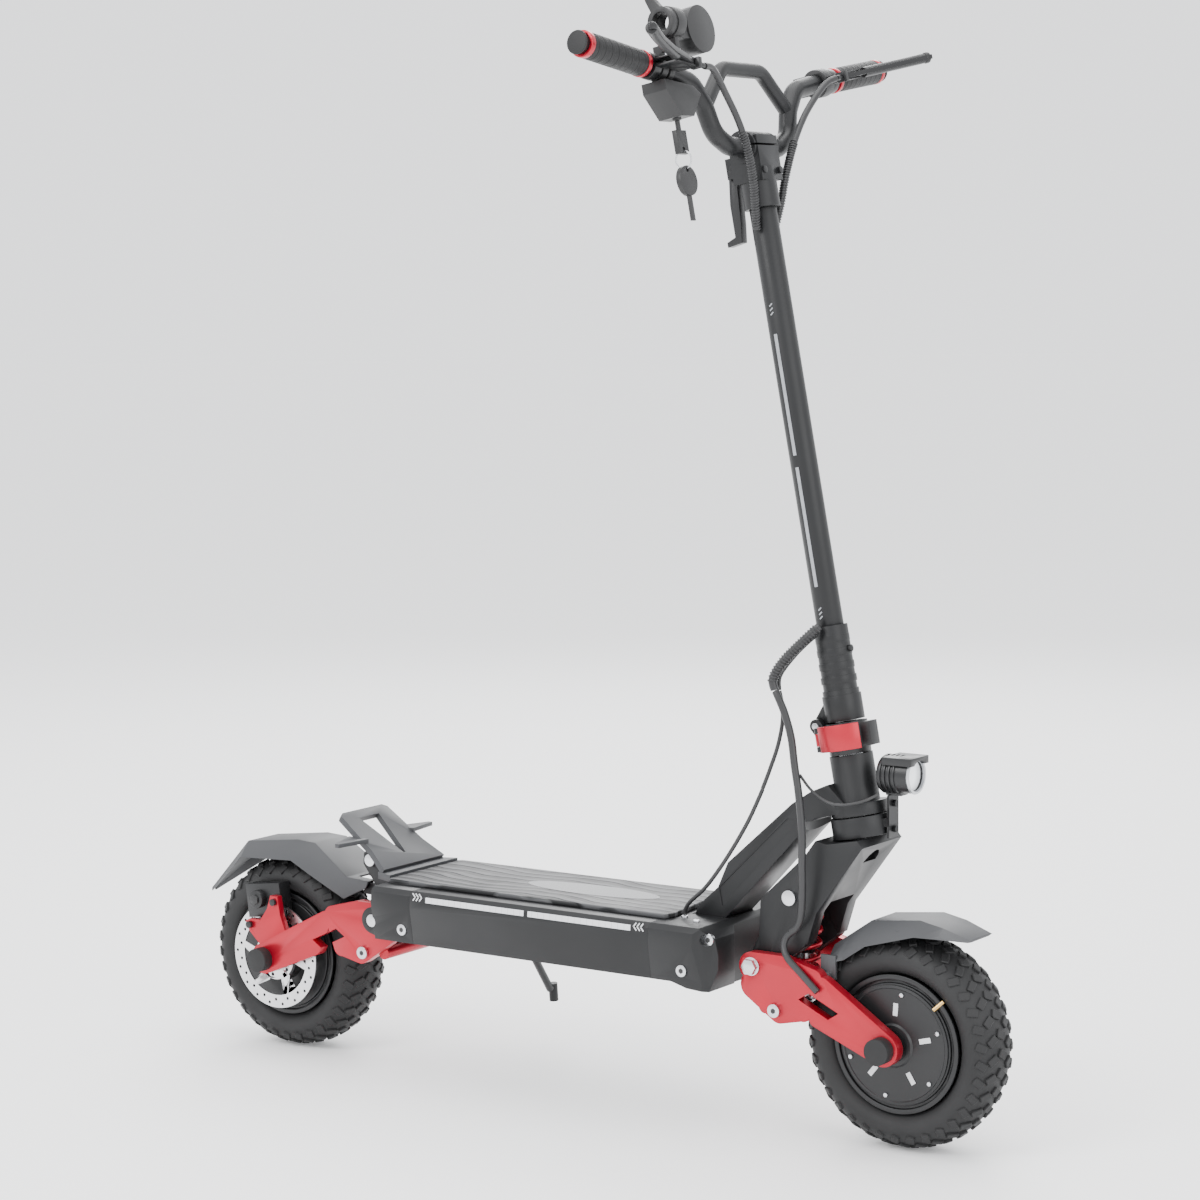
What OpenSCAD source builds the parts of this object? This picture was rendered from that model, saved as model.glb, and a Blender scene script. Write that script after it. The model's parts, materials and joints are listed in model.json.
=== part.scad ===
// Electric kick scooter with sprung swing arms, hub motors and a folding stem.
// Millimetres. +X is forwards, +Y is the rider's left, +Z is up.
// The origin is on the ground, under the middle of the overall length.

/* [Wheels] */
// Distance between the two axles
wheelbase = 925; // [860:5:1110]
// Tyre outer diameter
tyre_d = 255; // [240:1:262]
// Tyre width
tyre_w = 78; // [66:1:82]
// Diameter of the rim edge where the tyre seats
rim_d = 164; // [150:1:176]
// Width of the hub shell across its covers
hub_w = 66; // [60:1:70]
// Axle diameter
axle_d = 16; // [12:1:20]
// Brake disc diameter
disc_d = 140; // [120:1:150]
// Brake disc thickness
disc_t = 2; // [1.6:0.1:2.4]

/* [Deck] */
// Length of the extruded middle of the deck
deck_len = 360; // [300:5:420]
// Deck width
deck_w = 210; // [180:2:250]
// Height of the deck's underside over the ground
deck_floor_z = 182; // [175:1:190]
// Height of the deck's top face over the ground
deck_top_z = 250; // [240:1:252]
// Wall of the deck extrusion
deck_wall = 4; // [3:0.5:6]
// Thickness of the rubber mat
mat_t = 6; // [3:0.5:8]
// Width of the rubber mat
mat_w = 150; // [120:2:160]

/* [Suspension] */
// Horizontal distance from the front axle back to its arm pivot
front_reach = 176; // [170:1:186]
// Horizontal distance from the rear axle forwards to its arm pivot
rear_reach = 203; // [198:1:210]
// Height of both arm pivots over the ground
pivot_z = 204.5; // [200:0.5:208]
// Arm plate thickness
arm_t = 14; // [10:1:15]
// Diameter of the pivot bolts
pivot_d = 16; // [12:1:18]
// Diameter of the shock bolts
shock_bolt_d = 12; // [8:1:14]
// Outer diameter of the shock springs
spring_d = 37; // [34:1:40]
// Spring wire diameter
spring_wire = 6; // [4:0.5:7]

/* [Stem] */
// Backward lean of the steering axis from upright, in degrees
rake = 10.5; // [8:0.5:13]
// Outer diameter of the head tube
head_tube_d = 51; // [46:1:56]
// Length of the head tube
head_tube_len = 72; // [60:1:74]
// Diameter of the stem tube
stem_d = 32; // [28:1:36]
// Length of the stem tube from the sleeve to the head block
stem_len = 490; // [420:5:520]
// Length of the ribbed sleeve under the stem tube
sleeve_len = 111; // [90:1:120]

/* [Handlebar] */
// Overall width across the two grips
bar_w = 640; // [580:5:700]
// Diameter of the handlebar tube
bar_d = 22.2; // [20:0.1:24]
// Length of each grip
grip_len = 118; // [100:1:125]
// Diameter of the grips
grip_d = 29.6; // [27:0.1:33]

/* [Fits] */
// Radial gap of a turning or sliding fit
running_gap = 0.05; // [0.02:0.01:0.1]
// Gap between neighbours that do not touch
part_gap = 0.4; // [0.3:0.05:0.8]
// Radial room at the open lower eye of each shock
open_eye_gap = 1; // [0.8:0.1:1.4]

/* [Hidden] */
$fn = 48;

black = [0.07, 0.07, 0.08];
dark = [0.16, 0.16, 0.17];
grey = [0.36, 0.37, 0.39];
steel = [0.72, 0.73, 0.75];
red = [0.72, 0.05, 0.10];
pale = [0.78, 0.79, 0.80];

// Wheels
tyre_r = tyre_d / 2;
rim_r = rim_d / 2;
axle_z = tyre_r;
axle_r = axle_d / 2;
tail_overhang = 153;
front_x = (wheelbase + tail_overhang - tyre_r) / 2;
rear_x = front_x - wheelbase;
tyre_crown_r = 60;
tyre_wall = 5;
disc_y = 52;

// Arms. The disc side of an arm stands further out than the plain side.
plain_face = 64;
disc_face = 76;
plain_in = plain_face - arm_t;
disc_in = disc_face - arm_t;
front_pivot_x = front_x - front_reach;
rear_pivot_x = rear_x + rear_reach;
pivot_r = pivot_d / 2;
pivot_rise = pivot_z - axle_z;
lug_dx = 38;
lug_dz = -49;
lug_r = 15;
shock_bolt_r = shock_bolt_d / 2;
leg_face = 46;
leg_in = 26;
cap_r = 15.5;
cap_h = 15;

// Shocks, from the open lower eye to the hinged upper eye
front_lug = [front_pivot_x + lug_dx - 6, pivot_z + lug_dz];
rear_lug = [rear_pivot_x - lug_dx + 5, pivot_z + lug_dz];
front_eye = [front_pivot_x + 42, pivot_z + 83];
rear_eye = [rear_pivot_x - 50, pivot_z + 63];
eye_w = 22;
eye_r = 12;
seat_t = 4;
seat_off = 18;
shock_body_r = 10;
shock_rod_r = 6;

// Deck
deck_half = deck_len / 2;
deck_half_w = deck_w / 2;
nose_len = 90;
tail_len = 62;
tail_x = -deck_half - tail_len;
rail_z = deck_top_z - 22;

// Head
head_x = front_pivot_x + 111.5;
head_z = pivot_z + 180.5;
crown_r = 36;
crown_h = 24;
steerer_r = 14;
head_gap = 1.5;
base_top = head_tube_len + 38;
sleeve_z = base_top + 2;
tube_z = sleeve_z + sleeve_len;
block_z = tube_z + stem_len;
block_len = 86;
bar_z = block_z + 71;
fold_u = -30;
fold_pin_r = 4;
stem_r = stem_d / 2;

// Handlebar corners as [y, height along the stem], from the middle outwards
bar_r = bar_d / 2;
bar_half = bar_w / 2;
bar_pts = [[52, bar_z], [80, bar_z + 14], [91, bar_z + 46], [112, bar_z + 72], [152, bar_z + 80]];
grip_rise = 8.5;
grip_run = (bar_half - 152) / cos(grip_rise);
collar_t = 6;

// ---- helpers ----
module at_head() translate([head_x, 0, head_z]) rotate([0, -rake, 0]) children();
module rod_y(r, y0, y1) translate([0, y0, 0]) rotate([-90, 0, 0]) cylinder(h = y1 - y0, r = r);
module rod_x(r, x0, x1) translate([x0, 0, 0]) rotate([0, 90, 0]) cylinder(h = x1 - x0, r = r);
module slab_y(y0, y1) translate([0, y1, 0]) rotate([90, 0, 0]) linear_extrude(y1 - y0) children();
module slab_x(x0, x1) translate([x0, 0, 0]) rotate([90, 0, 90]) linear_extrude(x1 - x0) children();
module at_xz(p) translate([p[0], 0, p[1]]) children();
module both_sides() {
    children();
    mirror([0, 1, 0]) children();
}
module hex_y(across, y0, y1) translate([0, y0, 0]) rotate([-90, 0, 0]) cylinder(h = y1 - y0, r = across / 2 / cos(30), $fn = 6);

// A round tube along points given as [y, z], with a swept elbow of radius bend at each corner.
// Each elbow is a hair thicker than the tube and laps over its ends by a few degrees.
elbow_lap = 3;
function turn(p, i) = let (a = unit(p[i] - p[i - 1]), b = unit(p[i + 1] - p[i])) asin(a[0] * b[1] - a[1] * b[0]);
function trim(p, i, bend) = i <= 0 || i >= len(p) - 1 ? 0 : bend * tan(abs(turn(p, i)) / 2);
module bent_tube(p, r, bend) {
    for (i = [0 : len(p) - 2]) {
        d = unit(p[i + 1] - p[i]);
        a = p[i] + trim(p, i, bend) * d;
        b = p[i + 1] - trim(p, i + 1, bend) * d;
        translate([0, a[0], a[1]]) rotate([-atan2(d[0], d[1]), 0, 0]) cylinder(h = norm(b - a), r = r);
    }
    for (i = [1 : len(p) - 2]) {
        a = unit(p[i] - p[i - 1]);
        b = unit(p[i + 1] - p[i]);
        side = turn(p, i) > 0 ? 1 : -1;
        first = p[i] - trim(p, i, bend) * a;
        middle = first + side * bend * [-a[1], a[0]];
        from = side > 0 ? first : p[i] + trim(p, i, bend) * b;
        translate([0, middle[0], middle[1]]) rotate([90, 0, 90])
            rotate([0, 0, atan2(from[1] - middle[1], from[0] - middle[0]) - elbow_lap])
                rotate_extrude(angle = abs(turn(p, i)) + 2 * elbow_lap) translate([bend, 0]) circle(r = r + 0.1);
    }
}

// A smooth curve through points, and a round cable swept along it
function spline(p, n) = [
    for (i = [0 : len(p) - 2]) let (
        a = p[max(i - 1, 0)], b = p[i], c = p[i + 1], d = p[min(i + 2, len(p) - 1)]
    ) for (k = [0 : n - 1]) let (t = k / n)
        0.5 * (2 * b + (c - a) * t + (2 * a - 5 * b + 4 * c - d) * t * t + (3 * b - a - 3 * c + d) * t * t * t),
    p[len(p) - 1]
];
function unit(v) = v / norm(v);
function heading(c, i) = unit(c[min(i + 1, len(c) - 1)] - c[max(i - 1, 0)]);
function level(t) = unit(cross(t, abs(t[0]) > 0.9 ? [0, 1, 0] : [1, 0, 0]));
module sweep(c, r, sides = 8) {
    rings = len(c);
    pts = [for (i = [0 : rings - 1]) let (t = heading(c, i), a = level(t), b = cross(t, a))
        for (k = [0 : sides - 1]) c[i] + r * (cos(360 * k / sides) * a + sin(360 * k / sides) * b)];
    walls = [for (i = [0 : rings - 2]) for (k = [0 : sides - 1]) let (m = (k + 1) % sides)
        each [[i * sides + k, i * sides + m, (i + 1) * sides + m],
              [i * sides + k, (i + 1) * sides + m, (i + 1) * sides + k]]];
    caps = [[for (k = [sides - 1 : -1 : 0]) k], [for (k = [0 : sides - 1]) (rings - 1) * sides + k]];
    polyhedron(pts, [for (f = concat(walls, caps)) [for (j = [len(f) - 1 : -1 : 0]) f[j]]], convexity = 8);
}
module cable(p, r, n = 3) sweep(spline(p, n), r);

// A bent shell through fender cross sections of eight points each
module loft(sections) {
    last = 8 * (len(sections) - 1);
    walls = [for (i = [0 : len(sections) - 2]) for (k = [0 : 7]) let (m = (k + 1) % 8, a = 8 * i, b = 8 * i + 8)
        each [[a + k, a + m, b + m], [a + k, b + m, b + k]]];
    caps = [for (q = [[0, 1, 6, 7], [1, 2, 5, 6], [2, 3, 4, 5]])
        each [[q[3], q[2], q[1], q[0]], [for (k = q) last + k]]];
    polyhedron([for (s = sections) each s], concat(walls, caps), convexity = 8);
}

// ---- deck ----
module deck_outline() {
    polygon([
        [-deck_half_w + 7, deck_floor_z], [deck_half_w - 7, deck_floor_z],
        [deck_half_w, rail_z], [deck_half_w - 1, deck_top_z - 6], [deck_half_w - 7, deck_top_z],
        [-deck_half_w + 7, deck_top_z], [-deck_half_w + 1, deck_top_z - 6], [-deck_half_w, rail_z]
    ]);
}
module deck_cavity() {
    inset = 7 + 2 * deck_wall;
    polygon([
        [-deck_half_w + inset, deck_floor_z + deck_wall], [deck_half_w - inset, deck_floor_z + deck_wall],
        [deck_half_w - inset, deck_top_z - deck_wall], [-deck_half_w + inset, deck_top_z - deck_wall]
    ]);
}
light_h = 10;
light_t = 2;
light_len = 152;
light_gap = 6;
module light_pocket(grow) {
    for (s = [-1, 1])
        translate([s * (light_len + light_gap) / 2 - light_len / 2 - grow, -deck_half_w - 1, rail_z + 10 - grow])
            cube([light_len + 2 * grow, light_t + 1 + grow, light_h + 2 * grow]);
}
module deck_shell() {
    color(black) difference() {
        slab_x(-deck_half, deck_half) deck_outline();
        slab_x(-deck_half - 1, deck_half + 1) deck_cavity();
        both_sides() light_pocket(part_gap / 4);
        bolt_holes();
        kickstand_screws(2.5 + running_gap);
    }
}
module side_lights() {
    color(pale) both_sides() intersection() {
        light_pocket(0);
        slab_x(-deck_half, deck_half) deck_outline();
    }
}
module mat_outline() polygon([
    [-deck_half - tail_len + 4, -mat_w / 2 + 4], [-deck_half - tail_len + 8, -mat_w / 2],
    [deck_half + 4, -mat_w / 2], [deck_half + 10, -mat_w / 2 + 12], [deck_half - 6, mat_w / 2 - 12],
    [deck_half - 12, mat_w / 2], [-deck_half - tail_len + 8, mat_w / 2], [-deck_half - tail_len + 4, mat_w / 2 - 4]
]);
module deck_mat() {
    color(dark) translate([0, 0, deck_top_z]) linear_extrude(mat_t) mat_outline();
}
battery_h = 44;
module power_pack() {
    side = deck_half_w - 7 - 2 * deck_wall - 3;
    base = deck_floor_z + deck_wall + part_gap / 2;
    color([0.1, 0.25, 0.5]) translate([-deck_half + 10, -side, base]) cube([deck_len - 110, 2 * side, battery_h]);
    color(steel) for (s = [-1, 1])
        translate([deck_half - 92, s > 0 ? 3 : -side, base]) cube([84, side - 3, battery_h - 8]);
}

// Front end casting: flat top, blunt nose, and a seat for the neck
module front_casting() {
    color(black) difference() {
        intersection() {
            slab_y(-deck_half_w, deck_half_w) polygon([
                [deck_half, deck_floor_z], [deck_half + 28, deck_floor_z], [deck_half + 50, deck_floor_z - 6],
                [deck_half + 79, deck_floor_z - 8], [deck_half + nose_len, deck_floor_z + 23],
                [deck_half + nose_len - 5, deck_top_z - 13], [deck_half + nose_len - 22, deck_top_z],
                [deck_half, deck_top_z]
            ]);
            translate([0, 0, deck_floor_z - 20]) linear_extrude(120) polygon([
                [deck_half, -deck_half_w], [deck_half + 62, -deck_half_w], [deck_half + nose_len - 2, -deck_half_w + 18],
                [deck_half + nose_len - 4, -48], [deck_half + nose_len - 14, -34], [deck_half + nose_len - 14, 34],
                [deck_half + nose_len - 4, 48], [deck_half + nose_len - 2, deck_half_w - 18],
                [deck_half + 62, deck_half_w], [deck_half, deck_half_w]
            ]);
            slab_x(deck_half - 1, deck_half + nose_len + 1) deck_outline_deep();
        }
        translate([deck_half - 1, -30, deck_floor_z + deck_wall]) cube([40, 60, 40]);
        at_neck_foot(part_gap / 4);
        bolt_holes();
        glands(0.1);
    }
}
module deck_outline_deep() {
    deck_outline();
    translate([-deck_half_w + 7, deck_floor_z - 10]) square([deck_w - 14, 12]);
}
neck_foot = [deck_half + 14, deck_half + 62];
neck_foot_z = deck_top_z - 16;
neck_w = 60;
module at_neck_foot(grow) {
    translate([neck_foot[0] - grow, -neck_w / 2 - grow, neck_foot_z - grow])
        cube([neck_foot[1] - neck_foot[0] + 2 * grow, neck_w + 2 * grow, 60]);
}
// Two cable glands on the deck top in front of the mat
gland_pts = [[deck_half + 18, -52], [deck_half + 44, -66]];
module glands(grow) {
    for (p = gland_pts) translate([p[0], p[1], deck_top_z - 6 - grow]) cylinder(h = 8, r = 4 + grow);
}

// Rear end casting: shell end, tongue and cheeks for the arm pivot, tower for the shock
tongue_r = 14;
cheek_y = 44;
module rear_casting() {
    color(black) difference() {
        union() {
            slab_x(-deck_half - tail_len, -deck_half) deck_outline();
            difference() {
                slab_y(-cheek_y, cheek_y) hull() {
                    at2([-deck_half - tail_len + 2, pivot_z]) square([4, 2 * tongue_r], center = true);
                    at2([rear_pivot_x, pivot_z]) circle(r = tongue_r, $fn = 48);
                }
                translate([rear_pivot_x - 40, -leg_in, pivot_z - 30]) cube([32, 2 * leg_in, 60]);
            }
            both_sides() slab_y(disc_face + 3, deck_half_w - 8) hull() {
                at2([-deck_half - tail_len + 2, pivot_z]) square([4, 2 * 19], center = true);
                at2([rear_pivot_x, pivot_z]) circle(r = 17, $fn = 48);
            }
            both_sides() slab_y(leg_in, 36) polygon([
                [tail_x + 2, pivot_z + 12], [tail_x + 2, deck_top_z], [tail_x - 24.5, deck_top_z],
                [tail_x - 26, deck_top_z + 11], [tail_x - 50, deck_top_z + 28], [rear_eye[0] - 6, rear_eye[1] + 13],
                [rear_eye[0] - 12, rear_eye[1] + 8], [rear_eye[0] - 13, rear_eye[1] - 6],
                [rear_eye[0] + 6, pivot_z + 32], [rear_pivot_x - 20, pivot_z + 18], [rear_pivot_x, pivot_z + 12]
            ]);
            both_sides() at_xz(rear_eye) rod_y(9, eye_w / 2 + part_gap, leg_in + 1);
            both_sides() translate([tail_x - 68, leg_in, deck_top_z - 28]) cube([70, 10, 14]);
        }
        slab_x(-deck_half - tail_len + 12, -deck_half + 1) deck_cavity();
        both_sides() translate([tail_x - 30, cheek_y + 2.2, deck_floor_z - 20]) cube([50, disc_face + 0.8 - cheek_y, 64]);
        at_xz([rear_pivot_x, pivot_z]) rod_y(pivot_r + running_gap, -deck_half_w + 2, deck_half_w - 2);
        at_xz(rear_eye) rod_y(shock_bolt_r + running_gap, -50, 50);
        bolt_holes();
    }
}
module at2(p) translate([p[0], p[1]]) children();

// Side bolts of the deck as [x, z, seat]: two low ones a side and a cup bolt on the front casting
side_bolts = [
    [-deck_half - 16, deck_floor_z + 17, deck_half_w - 8], [deck_half + 45, deck_floor_z + 15, deck_half_w - 8],
    [deck_half + 77, deck_top_z - 14, deck_half_w - 18]
];
module bolt_holes() {
    both_sides() for (p = side_bolts) at_xz(p) {
        rod_y(3.5 + running_gap, -p[2] - 1, -p[2] + 20);
        rod_y(7 + part_gap / 4, -deck_half_w - 1, -p[2]);
    }
}
stand_x = -150;
stand_y = 84;
module kickstand_screws(r) {
    for (s = [-1, 1]) translate([stand_x + 16 * s, stand_y - 8, deck_floor_z - 8]) cylinder(h = 11.8, r = r);
}
module deck_fittings() {
    color(steel) both_sides() for (p = side_bolts) at_xz(p) {
        rod_y(3.5, -p[2] - 1, -p[2] + 19);
        rod_y(7, -p[2] - 5, -p[2] - 0.02);
    }
    color(steel) glands(0);
    color(black) stand_bracket();
    color(steel) kickstand_screws(2.5);
    color(steel) at_stand() rod_y(3.5, -13, 13);
}
// Kickstand: a bracket under the deck, and a leg that turns back and up on a slanting pin
stand_pin = [stand_x, stand_y + 4, deck_floor_z - 14.6];
stand_lean = 35;
stand_len = 128;
module at_stand() translate(stand_pin) rotate([stand_lean, 0, 0]) children();
module stand_bracket() {
    difference() {
        union() {
            translate([stand_x - 24, stand_y - 18, deck_floor_z - 5]) cube([48, deck_half_w - 8 - stand_y + 18, 4.98]);
            for (y = [-11, 7.2]) at_stand() slab_y(y, y + 3.8) hull() {
                circle(r = 7, $fn = 32);
                translate([-7, 20]) square([14, 4]);
            }
        }
        at_stand() rod_y(3.5 + running_gap, -14, 14);
        kickstand_screws(2.5 + running_gap);
        translate([stand_x - 40, stand_y - 40, deck_floor_z - 0.02]) cube([80, 80, 30]);
    }
}
module kickstand() {
    color(black) at_stand() difference() {
        union() {
            rod_y(6.5, -6.8, 6.8);
            translate([0, 0, -stand_len + 20]) cylinder(h = stand_len - 22, r = 5);
            translate([0, 4, -stand_len + 14]) rotate([-30, 0, 0]) translate([0, 0, -14]) cylinder(h = 24, r = 6);
        }
        rod_y(3.5 + running_gap, -14, 14);
    }
}

// ---- neck ----
module neck() {
    color(black) difference() {
        union() {
            slab_y(-neck_w / 2, neck_w / 2) polygon([
                [neck_foot[0], neck_foot_z], [neck_foot[0] + 8, deck_top_z + 10], [front_pivot_x - 68, deck_top_z + 36],
                [front_pivot_x - 54, deck_top_z + 67], [front_pivot_x - 9, deck_top_z + 107],
                [front_pivot_x + 36, deck_top_z + 146], [front_pivot_x + 61, deck_top_z + 162],
                [front_pivot_x + 84, deck_top_z + 172], [front_pivot_x + 108, deck_top_z + 150],
                [front_pivot_x + 92, deck_top_z + 137], [front_pivot_x + 67, deck_top_z + 131],
                [front_pivot_x + 50, deck_top_z + 114], [front_pivot_x - 50, deck_top_z + 8],
                [neck_foot[1], deck_top_z], [neck_foot[1], neck_foot_z]
            ]);
            at_head() translate([0, 0, head_gap]) cylinder(h = 14, r = crown_r - 2);
            at_head() translate([0, 0, head_gap]) cylinder(h = head_tube_len - head_gap, d = head_tube_d);
        }
        at_head() translate([0, 0, -30]) cylinder(h = 30 + head_gap, r = crown_r + 30);
        at_head() translate([0, 0, -5]) cylinder(h = head_tube_len + 10, r = steerer_r + 7);
        at_head() translate([0, 0, head_tube_len]) cylinder(h = 60, r = 40);
        both_sides() neck_panel();
    }
}
// Shallow panel on each side of the neck
module neck_panel() {
    slab_y(-neck_w / 2 - 1, -neck_w / 2 + 1.5) polygon([
        [front_pivot_x - 62, deck_top_z + 14], [front_pivot_x + 46, deck_top_z + 128],
        [front_pivot_x + 30, deck_top_z + 128], [front_pivot_x - 66, deck_top_z + 36]
    ]);
}

// ---- tail ----
tail_slope = 36;
tail_rise_len = 97;
tail_t = 8;
module tail_plate() {
    color(grey) difference() {
        union() {
            translate([tail_x - 20, 0, deck_top_z + 9]) rotate([0, -180 + tail_slope, 0]) mirror([0, 0, 1])
                linear_extrude(tail_t) difference() {
                    polygon([[-4, -62], [30, -52], [tail_rise_len, -47], [tail_rise_len + 5, -40],
                             [tail_rise_len + 5, 40], [tail_rise_len, 47], [30, 52], [-4, 62]]);
                    polygon([[16, -2], [88, -20], [88, 20], [16, 2]]);
                }
            translate([0, 0, deck_top_z + 0.02]) linear_extrude(9) polygon([
                [tail_x + 3.5, -mat_w / 2 + 5], [tail_x + 3.5, mat_w / 2 - 5], [tail_x - 24, 60], [tail_x - 24, -60]
            ]);
            both_sides() translate([0, 0, deck_top_z + 42]) linear_extrude(5) polygon([
                [tail_x - 50, 46], [tail_x - 58, 96], [tail_x - 64, 96], [tail_x - 84, 44]
            ]);
        }
        translate([tail_x - 200, -100, deck_top_z - 60]) cube([400, 200, 60]);
    }
}

// Fender cross section: flat crown, flared sides, open below
function fender_ring(x, top, crown, flare, low, t = 3) = [
    [x, -flare, low], [x, -crown, top], [x, crown, top], [x, flare, low],
    [x, flare - t, low], [x, crown - t, top - t], [x, -crown + t, top - t], [x, -flare + t, low]
];
module rear_fender() {
    color(grey) difference() {
        loft([
            fender_ring(rear_x - tail_overhang, axle_z + 67, 4.2, 5, axle_z + 62, 3),
            fender_ring(rear_x - 62, axle_z + 144, 30, 47, axle_z + 124),
            fender_ring(rear_x + 25, axle_z + 154, 31, 47, axle_z + 128),
            fender_ring(rear_x + 56, axle_z + 152, 32, 46, axle_z + 112),
            fender_ring(rear_x + 113, axle_z + 114, 38, 46, axle_z + 86),
            fender_ring(rear_x + 150, axle_z + 112, 40, 45, axle_z + 104)
        ]);
        translate([rear_x + 120, -23, axle_z + 60]) cube([60, 46, 80]);
    }
}

// ---- swing arms, drawn for the front with the disc side on +Y ----
module arm_side(reach) {
    hull() {
        circle(r = 20, $fn = 48);
        at2([-reach + 96, pivot_rise - 12]) circle(r = 10, $fn = 32);
        at2([-88, 24]) circle(r = 9, $fn = 32);
    }
    hull() {
        at2([-reach, pivot_rise]) circle(r = 17, $fn = 48);
        at2([-reach + 40, pivot_rise + 5]) circle(r = 12, $fn = 32);
        at2([-reach + 84, pivot_rise - 6]) circle(r = 12, $fn = 32);
        at2([-reach + 70, pivot_rise - 46]) circle(r = 12, $fn = 32);
    }
    hull() {
        at2([-reach + lug_dx, pivot_rise + lug_dz]) circle(r = lug_r, $fn = 48);
        at2([-reach + 2, pivot_rise - 22]) circle(r = 17, $fn = 32);
        at2([-reach + 66, pivot_rise - 44]) circle(r = 14, $fn = 32);
    }
}
module arm_window(reach) polygon([
    [-reach + 64, pivot_rise - 32], [-reach + 78, pivot_rise - 23], [-reach + 118, pivot_rise - 42],
    [-reach + 104, pivot_rise - 51]
]);
module swing_arm(reach, lug) {
    color(red) difference() {
        union() {
            slab_y(-plain_face, -plain_in) difference() {
                arm_side(reach);
                arm_window(reach);
            }
            slab_y(disc_in, disc_face) difference() {
                arm_side(reach);
                arm_window(reach);
            }
            at_xz([-reach, pivot_rise]) rod_y(15, -plain_in - 1, -leg_face - part_gap);
            at_xz([-reach, pivot_rise]) rod_y(15, leg_face + part_gap, disc_in + 1);
            at_xz([-reach + 10, pivot_rise - 50]) rod_y(8, -plain_in - 1, disc_in + 1);
            at_xz(lug) both_sides() rod_y(10, eye_w / 2 + 1, plain_in + 1);
            at_xz(lug) rod_y(10, plain_in, disc_in + 1);
            slab_y(disc_in, disc_face - 5) polygon([
                [2, 10], [28, 34], [34, 46], [26, 50], [8, 50], [-4, 66], [-10, 84], [-22, 84], [-26, 60],
                [-38, 30], [-20, 10]
            ]);
        }
        rod_y(axle_r + running_gap, -plain_face - 1, disc_face + 1);
        at_xz([-reach, pivot_rise]) rod_y(pivot_r + running_gap, -plain_face - 1, disc_face + 1);
        at_xz(lug) rod_y(shock_bolt_r + running_gap, -plain_face - 1, disc_face + 1);
        for (p = caliper_ears) at_xz(p) rod_y(2.5 + running_gap, disc_in - 1, disc_face + 1);
    }
}
caliper_ears = [[26, 42], [-16, 76]];
module at_front() translate([front_x, 0, axle_z]) children();
module at_rear() translate([rear_x, 0, axle_z]) rotate([0, 0, 180]) children();
front_lug_rel = [front_lug[0] - front_x, front_lug[1] - axle_z];
rear_lug_rel = [rear_x - rear_lug[0], rear_lug[1] - axle_z];
module front_arm() at_front() swing_arm(front_reach, front_lug_rel);
module rear_arm() at_rear() swing_arm(rear_reach, rear_lug_rel);

// Axle with the motor stator on it, end caps and the shock's lower bolt
stator_r = 62;
module axle_set(lug) {
    color(steel) rod_y(axle_r, -plain_face - 8, disc_face + 8);
    color([0.6, 0.35, 0.2]) difference() {
        rod_y(stator_r, -22, 22);
        rod_y(axle_r, -23, 23);
        for (k = [0 : 17]) rotate([0, k * 20, 0]) translate([0, 0, stator_r - 8]) rod_y(2.5, -23, 23);
    }
    color(black) {
        axle_cap(-plain_face - cap_h, -plain_face - 0.02);
        axle_cap(disc_face + 0.02, disc_face + cap_h);
    }
    color(steel) at_xz(lug) {
        rod_y(shock_bolt_r, -plain_face, disc_face);
        rod_y(8, -plain_face - 4, -plain_face - 0.02);
        rod_y(8, disc_face + 0.02, disc_face + 4);
    }
}
module axle_cap(y0, y1) difference() {
    rod_y(cap_r, y0, y1);
    rod_y(axle_r, y0 > 0 ? y0 - 1 : y1 - 7.5, y0 > 0 ? y0 + 7.5 : y1 + 1);
}
module front_axle() at_front() axle_set(front_lug_rel);
module rear_axle() at_rear() axle_set(rear_lug_rel);

// Hub motor shell with the rim on it, and an adapter for the disc
module hub() {
    half = hub_w / 2;
    color(black) rotate([90, 0, 0]) rotate_extrude($fn = 96) difference() {
        union() {
            translate([axle_r + running_gap, -half]) square([rim_r - 10 - axle_r, 2 * half]);
            translate([rim_r - 12, -half + 4]) square([8, 2 * half - 8]);
            for (s = [-1, 1]) translate([rim_r - 6, s * (half - 2) - 2]) square([6, 4]);
            translate([axle_r + running_gap, -disc_y + disc_t / 2 + 0.02]) square([26, disc_y - half]);
            translate([axle_r + running_gap, half - 1]) square([14, 8]);
        }
        translate([axle_r + 8, -22 - 3]) square([stator_r + 3 - axle_r - 8, 50]);
        translate([0, -22 - 3]) square([axle_r + 9, 50]);
    }
}
module front_hub() at_front() hub();
module rear_hub() at_rear() hub();
module tyre() {
    color(dark) rotate([90, 0, 0]) rotate_extrude($fn = 96) difference() {
        intersection() {
            translate([tyre_r - tyre_crown_r, 0]) circle(r = tyre_crown_r, $fn = 96);
            translate([tyre_r - tyre_w / 2 + 12, 0]) circle(r = tyre_w / 2, $fn = 96);
            translate([rim_r + running_gap, -60]) square([80, 120]);
        }
        intersection() {
            translate([tyre_r - tyre_crown_r, 0]) circle(r = tyre_crown_r - tyre_wall - 3, $fn = 96);
            translate([tyre_r - tyre_w / 2 + 12, 0]) circle(r = tyre_w / 2 - tyre_wall, $fn = 96);
            translate([rim_r + 4, -60]) square([80, 120]);
        }
        translate([rim_r - 1, -22]) square([8, 44]);
    }
}
module front_tyre() at_front() tyre();
module rear_tyre() at_rear() tyre();
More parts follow.
